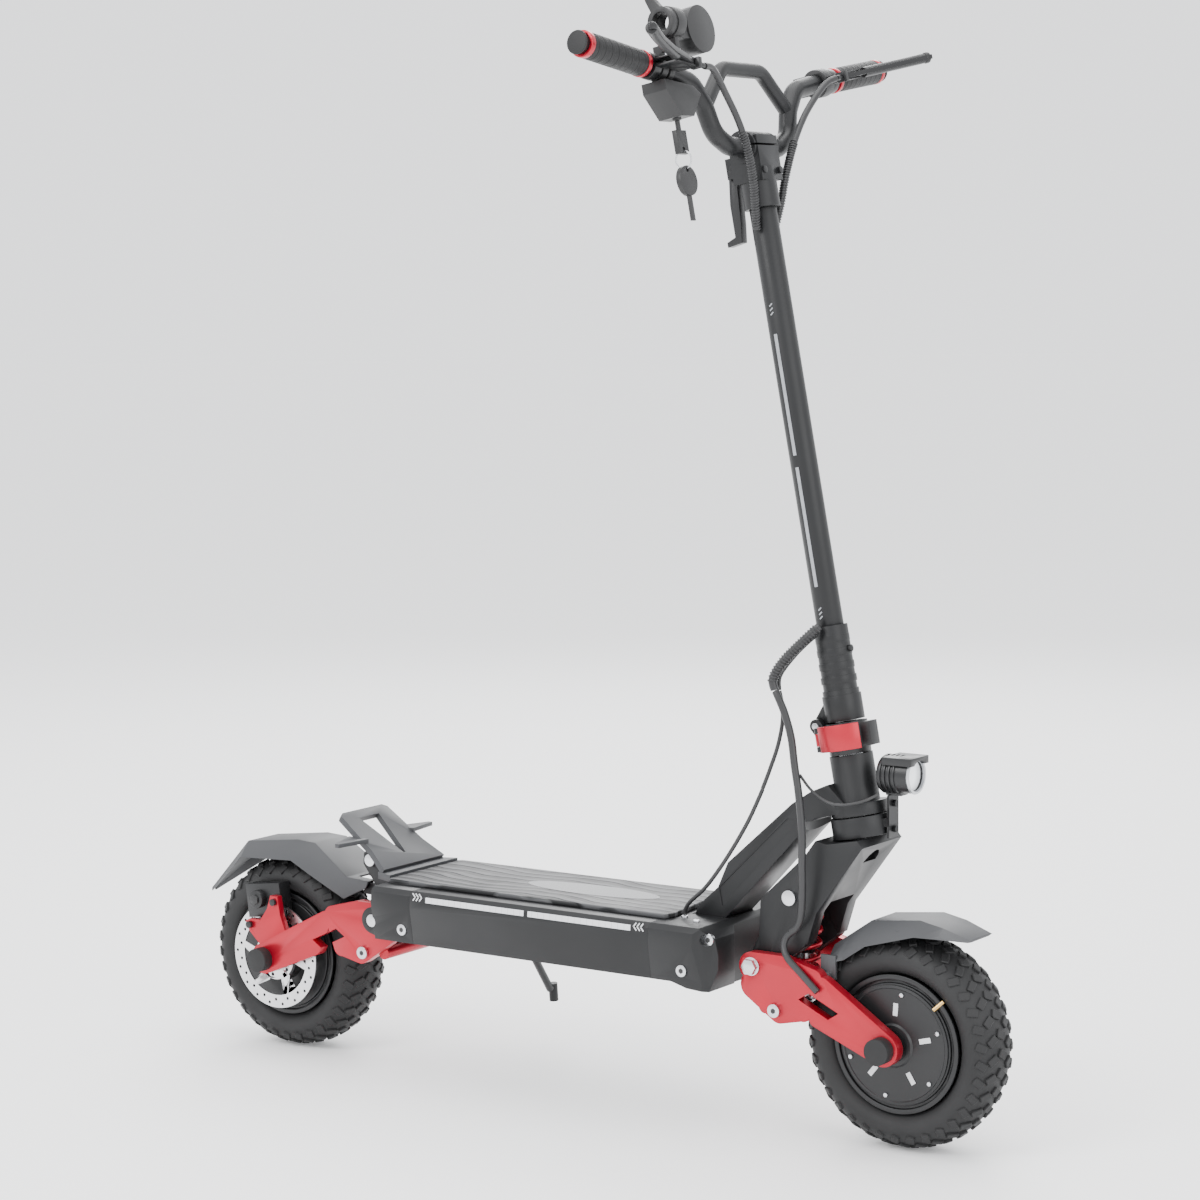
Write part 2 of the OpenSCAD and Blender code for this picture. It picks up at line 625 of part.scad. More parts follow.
module disc() {
    color(steel) difference() {
        union() {
            rod_y_ring(disc_d / 2, disc_d / 2 - 17);
            rod_y_ring(32, axle_r + 12);
            for (k = [0 : 5]) rotate([0, k * 60, 0]) slab_y(disc_y - disc_t / 2, disc_y + disc_t / 2)
                polygon([[22, -6], [30, 6], [disc_d / 2 - 12, 16], [disc_d / 2 - 14, 8], [34, -8]]);
        }
        for (k = [0 : 35]) rotate([0, k * 10, 0])
            translate([disc_d / 2 - (k % 2 == 0 ? 5 : 11), 0, 0]) rod_y(2, disc_y - 2, disc_y + 2);
        for (k = [0 : 5]) rotate([0, k * 60 + 20, 0]) translate([26, 0, 0]) rod_y(2.5, disc_y - 2, disc_y + 2);
    }
}
module rod_y_ring(r_out, r_in) difference() {
    rod_y(r_out, disc_y - disc_t / 2, disc_y + disc_t / 2);
    rod_y(r_in, disc_y - 3, disc_y + 3);
}
module front_disc() at_front() disc();
module rear_disc() at_rear() disc();

// Brake caliper astride the disc, bolted to the arm's two ears
caliper_turn = 7;
module caliper() {
    color(black) difference() {
        union() {
            rotate([0, caliper_turn, 0]) translate([-29, disc_y - 11, 53]) cube([58, disc_in - 0.1 - disc_y + 11, 44]);
            for (p = caliper_ears) at_xz(p) rod_y(6, disc_in - 6, disc_in - 0.1);
        }
        rod_y(disc_d / 2 + 3, disc_y - disc_t / 2 - 1, disc_y + disc_t / 2 + 1);
        for (p = caliper_ears) at_xz(p) rod_y(2.5 + running_gap, disc_in - 5.5, disc_in + 1);
    }
    color(steel) for (p = caliper_ears) at_xz(p) {
        rod_y(2.5, disc_in - 5, disc_face - 5);
        rod_y(4.5, disc_face - 5 + 0.02, disc_face - 1);
    }
}
module front_brake() at_front() caliper();
module rear_brake() at_rear() caliper();

module front_fender() {
    color(grey) translate([front_x, 0, axle_z]) difference() {
        union() {
            loft([
                fender_ring(-84, 107, 28, 45.5, 88),
                fender_ring(-62, 122, 28, 45.5, 94),
                fender_ring(-34, 141, 28, 45, 113),
                fender_ring(30, 148, 28, 45, 131),
                fender_ring(60, 142, 28, 45, 132),
                fender_ring(92, 131, 24, 30, 129)
            ]);
            both_sides() translate([-92, 42, 70]) cube([20, 4, 28]);
            translate([-90, -plain_in + 0.02, 70]) cube([12, 6, 8]);
            translate([-90, 44, 70]) cube([12, disc_in - 44.02, 8]);
        }
    }
}

// ---- shock absorbers ----
module along_shock(lug, eye) {
    d = eye - lug;
    translate([lug[0], 0, lug[1]]) rotate([0, atan2(d[0], d[1]), 0]) children();
}
function shock_len(lug, eye) = norm(eye - lug);
module shock_body(lug, eye) {
    l = shock_len(lug, eye);
    color(black) along_shock(lug, eye) difference() {
        union() {
            translate([0, 0, l]) rod_y(eye_r, -eye_w / 2, eye_w / 2);
            translate([0, 0, l * 0.45]) cylinder(h = l * 0.55 - 8, r = shock_body_r);
            translate([0, 0, l - seat_off - seat_t]) cylinder(h = seat_t, d = spring_d);
        }
        translate([0, 0, l]) rod_y(shock_bolt_r + running_gap, -20, 20);
        translate([0, 0, 1]) cylinder(h = l - 26, r = shock_rod_r + running_gap);
    }
}
module shock_rod(lug, eye) {
    l = shock_len(lug, eye);
    color(steel) along_shock(lug, eye) difference() {
        union() {
            rod_y(eye_r, -eye_w / 2, eye_w / 2);
            translate([0, 0, 8]) cylinder(h = l * 0.72 - 18, r = shock_rod_r);
            translate([0, 0, seat_off]) cylinder(h = seat_t, d = spring_d);
        }
        rod_y(shock_bolt_r + open_eye_gap, -20, 20);
    }
}
spring_turns = 5;
module shock_spring(lug, eye) {
    l = shock_len(lug, eye);
    low = seat_off + seat_t + spring_wire / 2 + part_gap / 2;
    high = l - seat_off - seat_t - spring_wire / 2 - part_gap / 2;
    coil_r = (spring_d - spring_wire) / 2;
    n = 60;
    color(red) along_shock(lug, eye) sweep([for (i = [0 : n]) let (a = 360 * spring_turns * i / n)
        [coil_r * cos(a), coil_r * sin(a), low + (high - low) * i / n]], spring_wire / 2);
}
module front_shock_body() shock_body(front_lug, front_eye);
module front_shock_rod() shock_rod(front_lug, front_eye);
module front_spring() shock_spring(front_lug, front_eye);
module rear_shock_body() shock_body(rear_lug, rear_eye);
module rear_shock_rod() shock_rod(rear_lug, rear_eye);
module rear_spring() shock_spring(rear_lug, rear_eye);

// ---- fork ----
module fork() {
    color(black) difference() {
        union() {
            at_head() translate([0, 0, -crown_h]) cylinder(h = crown_h, r = crown_r);
            slab_y(-leg_face, leg_face) polygon([
                [front_pivot_x + 92, head_z - 30], [front_pivot_x + 77, head_z - 27], [front_pivot_x + 62, head_z - 47],
                [front_pivot_x + 22, head_z - 84], [front_pivot_x + 2, head_z - 103], [front_pivot_x - 1, pivot_z + 30],
                [front_pivot_x + 66, pivot_z + 30], [front_pivot_x + 78, pivot_z + 68], [front_pivot_x + 140, head_z - 30],
                [front_pivot_x + 133, head_z - 22]
            ]);
            both_sides() slab_y(leg_in, leg_face) hull() {
                at2([front_pivot_x, pivot_z]) circle(r = 16, $fn = 48);
                at2([front_pivot_x + 14, pivot_z + 32]) circle(r = 14, $fn = 32);
                at2([front_pivot_x + 52, pivot_z + 34]) circle(r = 12, $fn = 32);
            }
            both_sides() at_xz(front_eye) rod_y(9, eye_w / 2 + part_gap, leg_in + 1);
        }
        difference() {
            slab_y(-leg_in, leg_in) polygon([
                [front_pivot_x - 30, pivot_z - 20], [front_pivot_x - 30, pivot_z + 100], [front_pivot_x + 24, pivot_z + 112],
                [front_pivot_x + 70, pivot_z + 112], [front_pivot_x + 96, pivot_z + 60], [front_pivot_x + 96, pivot_z - 20]
            ]);
            both_sides() at_xz(front_eye) rod_y(9, eye_w / 2 + part_gap, leg_in + 1);
        }
        at_xz([front_pivot_x, pivot_z]) rod_y(pivot_r + running_gap, -60, 60);
        at_xz(front_eye) rod_y(shock_bolt_r + running_gap, -60, 60);
        at_head() translate([0, 0, -crown_h - 30]) cylinder(h = crown_h + 60, r = steerer_r);
    }
}
// Steerer tube with its two bearings
module steerer() {
    color(steel) at_head() difference() {
        translate([0, 0, -crown_h]) cylinder(h = crown_h + head_tube_len + 12, r = steerer_r - 0.01);
        translate([0, 0, -crown_h - 1]) cylinder(h = crown_h + head_tube_len + 20, r = steerer_r - 3);
    }
    color(steel) at_head() for (z = [head_gap + 2, head_tube_len - 12]) translate([0, 0, z]) difference() {
        cylinder(h = 10, r = steerer_r + 7 - running_gap);
        translate([0, 0, -1]) cylinder(h = 12, r = steerer_r);
    }
}
// Fold base: headset ring, split block under the stem and the hinge ears at its back
base_r = 25;
module fold_base() {
    color(steel) at_head() difference() {
        translate([0, 0, head_tube_len + 1]) cylinder(h = 5, r = head_tube_d / 2 - 1);
        translate([0, 0, head_tube_len]) cylinder(h = 8, r = steerer_r);
    }
    color(dark) at_head() difference() {
        union() {
            translate([0, 0, head_tube_len + 6]) cylinder(h = base_top - head_tube_len - 6, r = base_r);
            translate([20, -9, head_tube_len + 8]) cube([16, 18, base_top - head_tube_len - 10]);
            both_sides() slab_y(11, 19) hull() {
                at2([fold_u, base_top]) circle(r = 8, $fn = 32);
                at2([-16, base_top - 24]) square([8, 16], center = true);
            }
            translate([lever_hinge[0] + 1, lever_hinge[1] + 3, head_tube_len + 8]) cube([12, 10, 6]);
            translate([lever_hinge[0] + 1, lever_hinge[1] + 3, base_top - 8]) cube([12, 10, 6]);
            for (z = [head_tube_len + 8, base_top - 8])
                translate([lever_hinge[0], lever_hinge[1], z]) cylinder(h = 6, r = 5);
        }
        translate([0, 0, head_tube_len]) cylinder(h = 12.5, r = steerer_r);
        translate([0, 0, head_tube_len + 30]) cylinder(h = 20, r = 12);
        translate([fold_u, 0, base_top]) rod_y(fold_pin_r + running_gap, -24, 24);
        translate([fold_u - 10, -10.6, base_top - 9.5]) cube([20, 21.2, 30]);
        translate([lever_hinge[0], lever_hinge[1], head_tube_len]) cylinder(h = 50, r = 2.5 + running_gap);
    }
}
lever_hinge = [-24, -24];
lever_z0 = head_tube_len + 7;
lever_z1 = base_top - 1;
module clamp_lever() {
    color(red) at_head() difference() {
        union() {
            translate([0, 0, lever_z0]) linear_extrude(lever_z1 - lever_z0) difference() {
                intersection() {
                    circle(r = 37, $fn = 96);
                    polygon([[0, 0], [-80, -66], [0, -90], [80, -60]]);
                }
                circle(r = 31, $fn = 96);
            }
            translate([lever_hinge[0], lever_hinge[1], head_tube_len + 14.6])
                cylinder(h = base_top - 8 - head_tube_len - 15.2, r = 5);
        }
        translate([lever_hinge[0], lever_hinge[1], head_tube_len]) cylinder(h = 50, r = 2.5 + running_gap);
        for (z = [head_tube_len + 6, base_top - 8.6])
            translate([lever_hinge[0], lever_hinge[1], z]) cylinder(h = 8.6, r = 6.5);
    }
}
module fork_bolts() {
    steerer();
    color(steel) {
        at_xz([front_pivot_x, pivot_z]) {
            rod_y(pivot_r, -plain_face, disc_face);
            rod_y(11, -plain_face - 1.5, -plain_face - 0.3);
            hex_y(17, -plain_face - 8, -plain_face - 1.5);
            hex_y(17, disc_face + 0.3, disc_face + 7);
        }
        at_xz(front_eye) {
            rod_y(shock_bolt_r, -leg_face, leg_face);
            both_sides() rod_y(9, leg_face + 0.02, leg_face + 3);
        }
        at_head() translate([fold_u, 0, base_top]) rod_y(fold_pin_r, -21, 21);
        at_head() translate([lever_hinge[0], lever_hinge[1], head_tube_len + 7])
            cylinder(h = base_top - head_tube_len - 8, r = 2.5);
    }
}
module rear_bolts() {
    color(steel) {
        at_xz([rear_pivot_x, pivot_z]) rod_y(pivot_r, -deck_half_w + 6, deck_half_w - 6);
        at_xz(rear_eye) {
            rod_y(shock_bolt_r, -38, 38);
            both_sides() rod_y(8, 36.02, 40);
        }
    }
}

// ---- headlight, carried on the front of the crown ----
lamp_r = 21;
lamp_at = [head_x + 24, head_z + 52];
module headlight_bracket() {
    color(black) {
        translate([lamp_at[0] + 17, -11, head_z - 22]) cube([3, 22, 50]);
        at_head() translate([crown_r - 6, -11, -16]) difference() {
            cube([12, 22, 10]);
            translate([-crown_r + 6, 11, -1]) cylinder(h = 12, r = crown_r + 0.1);
        }
    }
    color(steel) for (z = [-12, 18]) translate([lamp_at[0] + 20, 0, head_z + z]) rod_x(4, 0.02, 4);
}
module headlight() {
    color(black) translate([lamp_at[0] + 8, 0, lamp_at[1]]) difference() {
        union() {
            rod_x(lamp_r, 0, 40);
            for (k = [0 : 3]) rod_x(lamp_r + 2, 3 + 6 * k, 6 + 6 * k);
            translate([8, -lamp_r, lamp_r - 8]) cube([38, 2 * lamp_r, 9]);
            translate([6, -8, -lamp_r - 2.98]) cube([20, 16, 8]);
        }
        rod_x(lamp_r - 3, 20, 60);
    }
}
module headlight_lens() {
    color([0.95, 0.95, 0.95]) translate([lamp_at[0] + 8, 0, lamp_at[1]]) {
        rod_x(lamp_r - 3.1, 30, 37);
    }
}

// ---- stem ----
module stem_sleeve() {
    color(black) at_head() difference() {
        union() {
            translate([0, 0, sleeve_z]) cylinder(h = 30, r = 23);
            translate([0, 0, sleeve_z + 30]) cylinder(h = sleeve_len - 30, r = 20);
            for (k = [0 : 4]) translate([0, 0, sleeve_z + 28 + 16 * k]) cylinder(h = 8, r = 21.5 - 0.3 * k);
            slab_y(-10.4, 10.4) hull() {
                at2([fold_u, base_top]) circle(r = 8, $fn = 32);
                at2([-16, sleeve_z + 16]) square([4, 16], center = true);
            }
        }
        translate([0, 0, sleeve_z + 24]) cylinder(h = sleeve_len, r = stem_r + running_gap);
        translate([fold_u, 0, base_top]) rod_y(fold_pin_r + running_gap, -20, 20);
        translate([-25.4, -30, base_top - 30]) cube([60, 60, 31.5]);
    }
    color(steel) at_head() translate([0, 0, sleeve_z + 82]) rod_x(4, 20.6, 24);
}
module stem_tube() {
    color(black) at_head() difference() {
        translate([0, 0, sleeve_z + 24.1]) cylinder(h = block_z - sleeve_z + 20, r = stem_r);
        translate([0, 0, sleeve_z]) cylinder(h = 700, r = stem_r - 3);
        translate([-stem_r - 1, -3, sleeve_z + sleeve_len + 6]) cube([2.2, 6, stem_len - 12]);
    }
}
module stem_head() {
    color(black) at_head() difference() {
        union() {
            translate([0, 0, block_z]) cylinder(h = 46, r = stem_r + 5);
            translate([0, 0, bar_z]) rod_y(19, -26, 26);
            translate([-20, -22, block_z + 30]) cube([40, 44, block_len - 34]);
            translate([-34, -11, block_z + 40]) cube([20, 22, 24]);
        }
        translate([0, 0, block_z - 1]) cylinder(h = 46, r = stem_r + running_gap);
        translate([0, 0, bar_z]) rod_y(bar_r + running_gap, -40, 40);
        translate([2, -50, bar_z - 1.2]) cube([40, 100, 2.4]);
        translate([-40, -6.3, block_z + 36]) cube([18, 12.6, 32]);
        translate([hook_at[0], 0, hook_at[1]]) rod_y(3 + running_gap, -13, 13);
    }
    color(steel) at_head() {
        for (y = [-17, 17]) translate([21 - 1 + 0.02, y, bar_z - 30]) rod_x(4, 0, 3);
        translate([hook_at[0], 0, hook_at[1]]) rod_y(3, -11, 11);
    }
}
hook_at = [-28, block_z + 52];
module fold_hook() {
    color(dark) at_head() difference() {
        union() {
            slab_y(-6, 6) polygon([
                [hook_at[0] - 6, hook_at[1] + 4], [hook_at[0] + 5, hook_at[1] + 3], [hook_at[0] + 2, hook_at[1] - 20],
                [hook_at[0] - 1, hook_at[1] - 64], [hook_at[0] - 4, hook_at[1] - 86], [hook_at[0] - 24, hook_at[1] - 88],
                [hook_at[0] - 24, hook_at[1] - 82], [hook_at[0] - 12, hook_at[1] - 78], [hook_at[0] - 12, hook_at[1] - 40]
            ]);
            translate([hook_at[0], 0, hook_at[1]]) rod_y(6, -6, 6);
        }
        translate([hook_at[0], 0, hook_at[1]]) rod_y(3 + running_gap, -13, 13);
    }
}
bar_turn = [152, bar_z + 80];
bar_tip = bar_turn + (bar_half - bar_turn[0]) * [1, tan(grip_rise)];
function other_side(p) = [for (i = [len(p) - 1 : -1 : 0]) [-p[i][0], p[i][1]]];
brace_r = 9;
module handlebar() {
    color(black) at_head() {
        bent_tube(concat(other_side(concat(bar_pts, [bar_tip])), bar_pts, [bar_tip]), bar_r, 30);
        bent_tube([[-90, bar_z + 44], [-42, bar_z + 91], [42, bar_z + 91], [90, bar_z + 44]], brace_r, 24);
    }
}
// Places a child on one side's straight grip run, with Z outwards along the bar
module on_bar(s) at_head() translate([0, s * bar_turn[0], bar_turn[1]]) rotate([s > 0 ? -90 + grip_rise : 90 - grip_rise, 0, 0]) children();
module bar_ring(r, z0, z1) difference() {
    translate([0, 0, z0]) cylinder(h = z1 - z0, r = r);
    translate([0, 0, z0 - 1]) cylinder(h = z1 - z0 + 2, r = bar_r + running_gap);
}
module grips() {
    color(dark) for (s = [-1, 1]) on_bar(s) {
        bar_ring(grip_d / 2, grip_run - grip_len + collar_t, grip_run - 2 * collar_t - 1);
        translate([0, 0, grip_run + 0.02]) cylinder(h = 3, r = grip_d / 2 - 1.5);
    }
}
module grip_collars() {
    color(red) for (s = [-1, 1]) on_bar(s) {
        bar_ring(grip_d / 2 + 0.6, grip_run - grip_len - 0.02, grip_run - grip_len + collar_t - 0.02);
        bar_ring(grip_d / 2 + 0.2, grip_run - 2 * collar_t - 0.98, grip_run - collar_t);
    }
}
perch_z = 34;
lever_pin = [38, 18];
module perch() {
    difference() {
        union() {
            translate([0, 0, perch_z]) cylinder(h = 12, r = bar_r + 4);
            translate([19, -5, perch_z - 26]) cube([25, 10, 38]);
            translate([8, -5, perch_z]) cube([20, 10, 12]);
            translate([36, -6, perch_z - 30]) cube([12, 12, 6]);
        }
        translate([0, 0, -20]) cylinder(h = 100, r = bar_r + running_gap);
        translate([8, -2.9, lever_pin[1] - 7]) cube([50, 5.8, 60]);
        translate([lever_pin[0], 0, lever_pin[1]]) rotate([90, 0, 0]) cylinder(h = 30, r = 2.5 + running_gap, center = true);
    }
}
module lever_perches() {
    for (s = [-1, 1]) on_bar(s) {
        color(black) perch();
        color(steel) translate([lever_pin[0], 0, lever_pin[1]]) rotate([90, 0, 0]) cylinder(h = 10, r = 2.5, center = true);
        color(steel) translate([42, 0, perch_z - 30 - 12]) cylinder(h = 11.98, r = 3.2);
    }
}
module brake_lever() {
    color(black) difference() {
        translate([0, 2.7, 0]) rotate([90, 0, 0]) linear_extrude(5.4) polygon([
            [lever_pin[0] - 5, lever_pin[1] - 5], [lever_pin[0] + 5, lever_pin[1] - 6], [lever_pin[0] + 12, lever_pin[1] + 14],
            [lever_pin[0] + 20, lever_pin[1] + 50], [lever_pin[0] + 34, lever_pin[1] + 92],
            [lever_pin[0] + 52, lever_pin[1] + 132], [lever_pin[0] + 47, lever_pin[1] + 138],
            [lever_pin[0] + 38, lever_pin[1] + 130], [lever_pin[0] + 22, lever_pin[1] + 94],
            [lever_pin[0] + 8, lever_pin[1] + 50], [lever_pin[0] - 2, lever_pin[1] + 18]
        ]);
        translate([lever_pin[0], 0, lever_pin[1]]) rotate([90, 0, 0]) cylinder(h = 30, r = 2.5 + running_gap, center = true);
    }
}
module brake_lever_right() on_bar(-1) brake_lever();
module brake_lever_left() on_bar(1) brake_lever();

// Display and throttle unit on a post over the bar, with an open clamp ring at its outer end
display_u = 20;
ring_at = [display_u, bar_z + 131];
display_at = [-114, bar_z + 126];
ring_r = 18;
module display_unit() {
    color(black) at_head() difference() {
        union() {
            translate([ring_at[0], 0, ring_at[1]]) rod_y(ring_r, -173, -157);
            translate([8, display_at[0], display_at[1]]) rod_x(27, 0, 20);
            translate([display_u - 6, -160, display_at[1] - 12]) cube([12, 30, 24]);
            translate([display_u - 6, -169, ring_at[1] - 30]) cube([12, 8, 16]);
            translate([-5, -169, ring_at[1] - 30]) cube([30, 8, 8]);
            translate([-5, -169, ring_at[1] - 36]) cube([10, 8, 13]);
        }
        translate([ring_at[0], 0, ring_at[1]]) rod_y(bar_r, -180, -150);
        translate([2, display_at[0], display_at[1]]) rod_x(22, 0, 8);
        translate([6, display_at[0] + 6, display_at[1] - 16]) rod_x(4 + running_gap, 0, 12);
    }
    color(black) on_bar(-1) bar_ring(bar_r + 4, 9, 17);
    color(steel) at_head() translate([8, display_at[0], display_at[1] + 4]) rod_x(15, 0, 1.98);
}
module display_button() {
    color(red) at_head() translate([6, display_at[0] + 6, display_at[1] - 16]) rod_x(4, 0, 6);
}
trigger_at = [ring_at[0], ring_at[1]];
module throttle_trigger() {
    color(black) at_head() translate([trigger_at[0], 0, trigger_at[1]]) difference() {
        union() {
            rod_y(ring_r - 1, -184, -173.4);
            slab_y(-183, -175) polygon([
                [-10, 10], [-16, 26], [-18, 38], [-12, 40], [-6, 28], [4, 14]
            ]);
        }
        rod_y(bar_r, -190, -170);
    }
}
// Key lock box under the bar
module key_box() {
    color(dark) at_head() difference() {
        slab_x(-14, 18) polygon([
            [-190, bar_z + 68], [-190, bar_z + 56], [-166, bar_z + 28], [-142, bar_z + 28], [-121, bar_z + 54],
            [-134, bar_z + 62.5]
        ]);
        translate([2, -154, bar_z + 20]) cylinder(h = 20, r = 5 + running_gap);
    }
    color(dark) on_bar(-1) {
        bar_ring(bar_r + 3.5, 20, 30);
    }
    color(dark) at_head() translate([-6, -180, bar_z + 65]) cube([12, 8, 6.2]);
}
key_at = [2, -154, bar_z + 26];
ring_hang = 34.2;
module ignition_key() {
    color(steel) at_head() translate(key_at) {
        cylinder(h = 10, r = 5);
        translate([-1, -4, -12]) cube([2, 8, 12.5]);
    }
    color(dark) at_head() translate(key_at) translate([-3, -10, -38]) difference() {
        cube([6, 20, 26.5]);
        translate([-1, 10, 5]) rod_x(2.6, 0, 8);
    }
}
// Split ring through the key's hole, with a spare key hanging on it
module key_ring() {
    color(steel) at_head() translate([key_at[0], key_at[1], key_at[2] - ring_hang]) {
        translate([0, 0, -10.4]) rotate([90, 0, 0]) rotate_extrude($fn = 36) translate([10.4, 0]) circle(r = 0.8, $fn = 16);
        translate([-1, -4, -79]) cube([2, 8, 31]);
        difference() {
            translate([-3, 0, -34.1]) rod_x(17, 0, 6);
            translate([-4, 0, -22.1]) rod_x(2.4, 0, 8);
        }
    }
}
pod_z = 12;
module switch_pod() {
    color(black) on_bar(1) difference() {
        union() {
            bar_ring(bar_r + 6, pod_z, pod_z + 18);
            translate([-26, -12, pod_z - 4]) cube([16, 24, 24]);
        }
        translate([0, 0, -20]) cylinder(h = 100, r = bar_r + running_gap);
        translate([-30, 0, pod_z + 8]) rod_x(5 + running_gap, 0, 12);
    }
}
module horn_button() {
    color(red) on_bar(1) translate([-30, 0, pod_z + 8]) rod_x(5, 0, 10);
}

// ---- cables, points chosen by hand along each route ----
module deck_loom() {
    color(black) cable([
        [198, -52, 252.8], [199, -52, 259], [207, -53, 270], [232, -55, 292], [262, -56, 330], [290, -55, 374], [310, -54, 414]
    ], 2.5);
}
module fork_loom() {
    color(black) cable([
        [326, -50, 530], [331, -51, 522], [340, -52, 504], [350, -55, 478], [357, -59, 446], [366, -65, 414],
        [372, -68, 370], [371, -67, 330], [370, -65, 296], [366, -62, 270], [359.5, -60, 256.5], [352.25, -60, 250.25]
    ], 4.5);
    color(black) cable([[310, -54, 415], [318, -52, 436], [328, -49, 466], [332, -45, 494], [329, -41, 515], [324.6, -39, 529]], 2.5);
    color(black) cable([
        [362, -56, 436], [375, -54, 420], [392, -52, 408], [410, -50, 404], [434, -40, 408], [448, -22, 416]
    ], 1.8);
}
module front_arm_loom() {
    color(black) cable([
        [351.7, -60, 249.75], [345.5, -61, 243], [344.5, -64.5, 233], [352, -68.4, 221], [369, -68.6, 206],
        [392, -68.5, 186]
    ], 4);
}
module bar_looms() {
    color(black) {
        // from the brake levers down in front of the bar and into the tube
        cable([[294.8, -142.8, 1240.9], [293, -122, 1238], [288, -88, 1212], [288, -60, 1180], [290, -44, 1146],
               [290, -34, 1112], [288, -28, 1088], [285, -20.4, 1062]], 4);
        cable([[294.8, 142.8, 1240.9], [290, 124, 1232], [286, 90, 1200], [286, 62, 1164], [288, 40, 1126],
               [288, 29, 1094], [286, 20.5, 1068]], 4);
        // out of the tube's foot to the fold joint
        cable([[371, -25.6, 606], [356, -35, 590], [334, -44, 566], [322, -49, 545], [325, -50, 531.4]], 5);
        cable([[366, -24, 596], [344, -31, 574], [325, -37, 548], [324.2, -39, 530.2]], 2.5);
    }
}

deck_shell();
deck_mat();
side_lights();
power_pack();
front_casting();
rear_casting();
deck_fittings();
neck();
tail_plate();
rear_fender();
rear_bolts();
deck_loom();
kickstand();
fork();
fold_base();
fork_bolts();
headlight_bracket();
headlight();
headlight_lens();
fork_loom();
clamp_lever();
stem_sleeve();
stem_tube();
stem_head();
handlebar();
grips();
grip_collars();
lever_perches();
display_unit();
key_box();
switch_pod();
bar_looms();
fold_hook();
brake_lever_right();
brake_lever_left();
throttle_trigger();
display_button();
horn_button();
ignition_key();
key_ring();
front_arm();
front_axle();
front_brake();
front_fender();
front_arm_loom();
front_hub();
front_tyre();
front_disc();
front_shock_body();
front_shock_rod();
front_spring();
rear_arm();
rear_axle();
rear_brake();
rear_hub();
rear_tyre();
rear_disc();
rear_shock_body();
rear_shock_rod();
rear_spring();
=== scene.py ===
"""The looks of an electric kick scooter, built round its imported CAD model."""
import json
import math

import bpy
from mathutils import Matrix, Quaternion, Vector

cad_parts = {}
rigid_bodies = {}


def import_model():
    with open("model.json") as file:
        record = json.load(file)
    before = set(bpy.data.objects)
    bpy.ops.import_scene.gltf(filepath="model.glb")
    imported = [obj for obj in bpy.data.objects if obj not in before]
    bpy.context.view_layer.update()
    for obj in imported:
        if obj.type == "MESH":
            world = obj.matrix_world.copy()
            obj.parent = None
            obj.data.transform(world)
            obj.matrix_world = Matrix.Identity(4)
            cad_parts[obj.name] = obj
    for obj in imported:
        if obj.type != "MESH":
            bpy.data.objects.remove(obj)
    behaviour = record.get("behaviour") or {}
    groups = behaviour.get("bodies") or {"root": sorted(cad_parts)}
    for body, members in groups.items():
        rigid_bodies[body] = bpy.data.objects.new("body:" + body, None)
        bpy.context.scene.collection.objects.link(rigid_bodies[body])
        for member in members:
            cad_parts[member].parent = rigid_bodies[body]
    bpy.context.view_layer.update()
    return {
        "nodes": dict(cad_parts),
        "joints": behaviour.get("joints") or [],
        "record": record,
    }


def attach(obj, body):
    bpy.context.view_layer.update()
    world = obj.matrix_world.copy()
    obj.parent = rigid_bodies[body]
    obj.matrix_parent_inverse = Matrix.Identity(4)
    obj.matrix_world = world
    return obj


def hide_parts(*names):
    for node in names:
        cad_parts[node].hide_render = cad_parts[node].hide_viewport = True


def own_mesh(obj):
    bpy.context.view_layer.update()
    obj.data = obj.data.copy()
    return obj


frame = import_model()

MM = 0.001
BODIES = frame["record"]["behaviour"]["bodies"]
BODY_OF = {node: body for body, nodes in BODIES.items() for node in nodes}
SLOT_OF = {part["node"]: part["material_slot"] for part in frame["record"]["subparts"]}
JOINTS = {joint["name"]: joint for joint in frame["joints"]}

# ---- places, from the frame ----
steering = JOINTS["steer"]
HEAD = Vector(steering["pos_m"])
STEM_AXIS = Vector(steering["axis"]).normalized()
SIDE = Vector((0, 1, 0))
AHEAD = SIDE.cross(STEM_AXIS).normalized()
FRONT_HUB = Vector(JOINTS["front_wheel_spin"]["pos_m"])
REAR_HUB = Vector(JOINTS["rear_wheel_spin"]["pos_m"])
FRONT_PIVOT = Vector(JOINTS["front_arm_swing"]["pos_m"])
REAR_PIVOT = Vector(JOINTS["rear_arm_swing"]["pos_m"])
FRONT_EYE = Vector(JOINTS["front_shock_swing"]["pos_m"])
REAR_EYE = Vector(JOINTS["rear_shock_swing"]["pos_m"])


def on_head(ahead, side, up):
    """A point given along the stem, in millimetres from the bottom of the head tube."""
    return HEAD + (ahead * AHEAD + side * SIDE + up * STEM_AXIS) * MM


# ---- camera, light and floor ----
def place_camera():
    bpy.ops.object.camera_add(location=(2.1965, -3.0533, 1.0062))
    camera = bpy.context.object
    aim = Vector((0.08495, 0, 0.55957)) - camera.location
    roll = Quaternion((0, 0, 1), math.radians(-0.62))
    camera.rotation_euler = (aim.to_track_quat("-Z", "Y") @ roll).to_euler()
    camera.data.lens = 92.27
    camera.data.sensor_width = 36
    camera.data.shift_x = -0.02386
    camera.data.shift_y = 0.04107
    camera.data.clip_end = 40
    bpy.context.scene.camera = camera


def soft_light(name, place, aim, size, power):
    bpy.ops.object.light_add(type="AREA", location=place)
    lamp = bpy.context.object
    lamp.name = name
    lamp.data.energy = power
    lamp.data.size = size
    lamp.rotation_euler = (Vector(aim) - lamp.location).to_track_quat("-Z", "Y").to_euler()


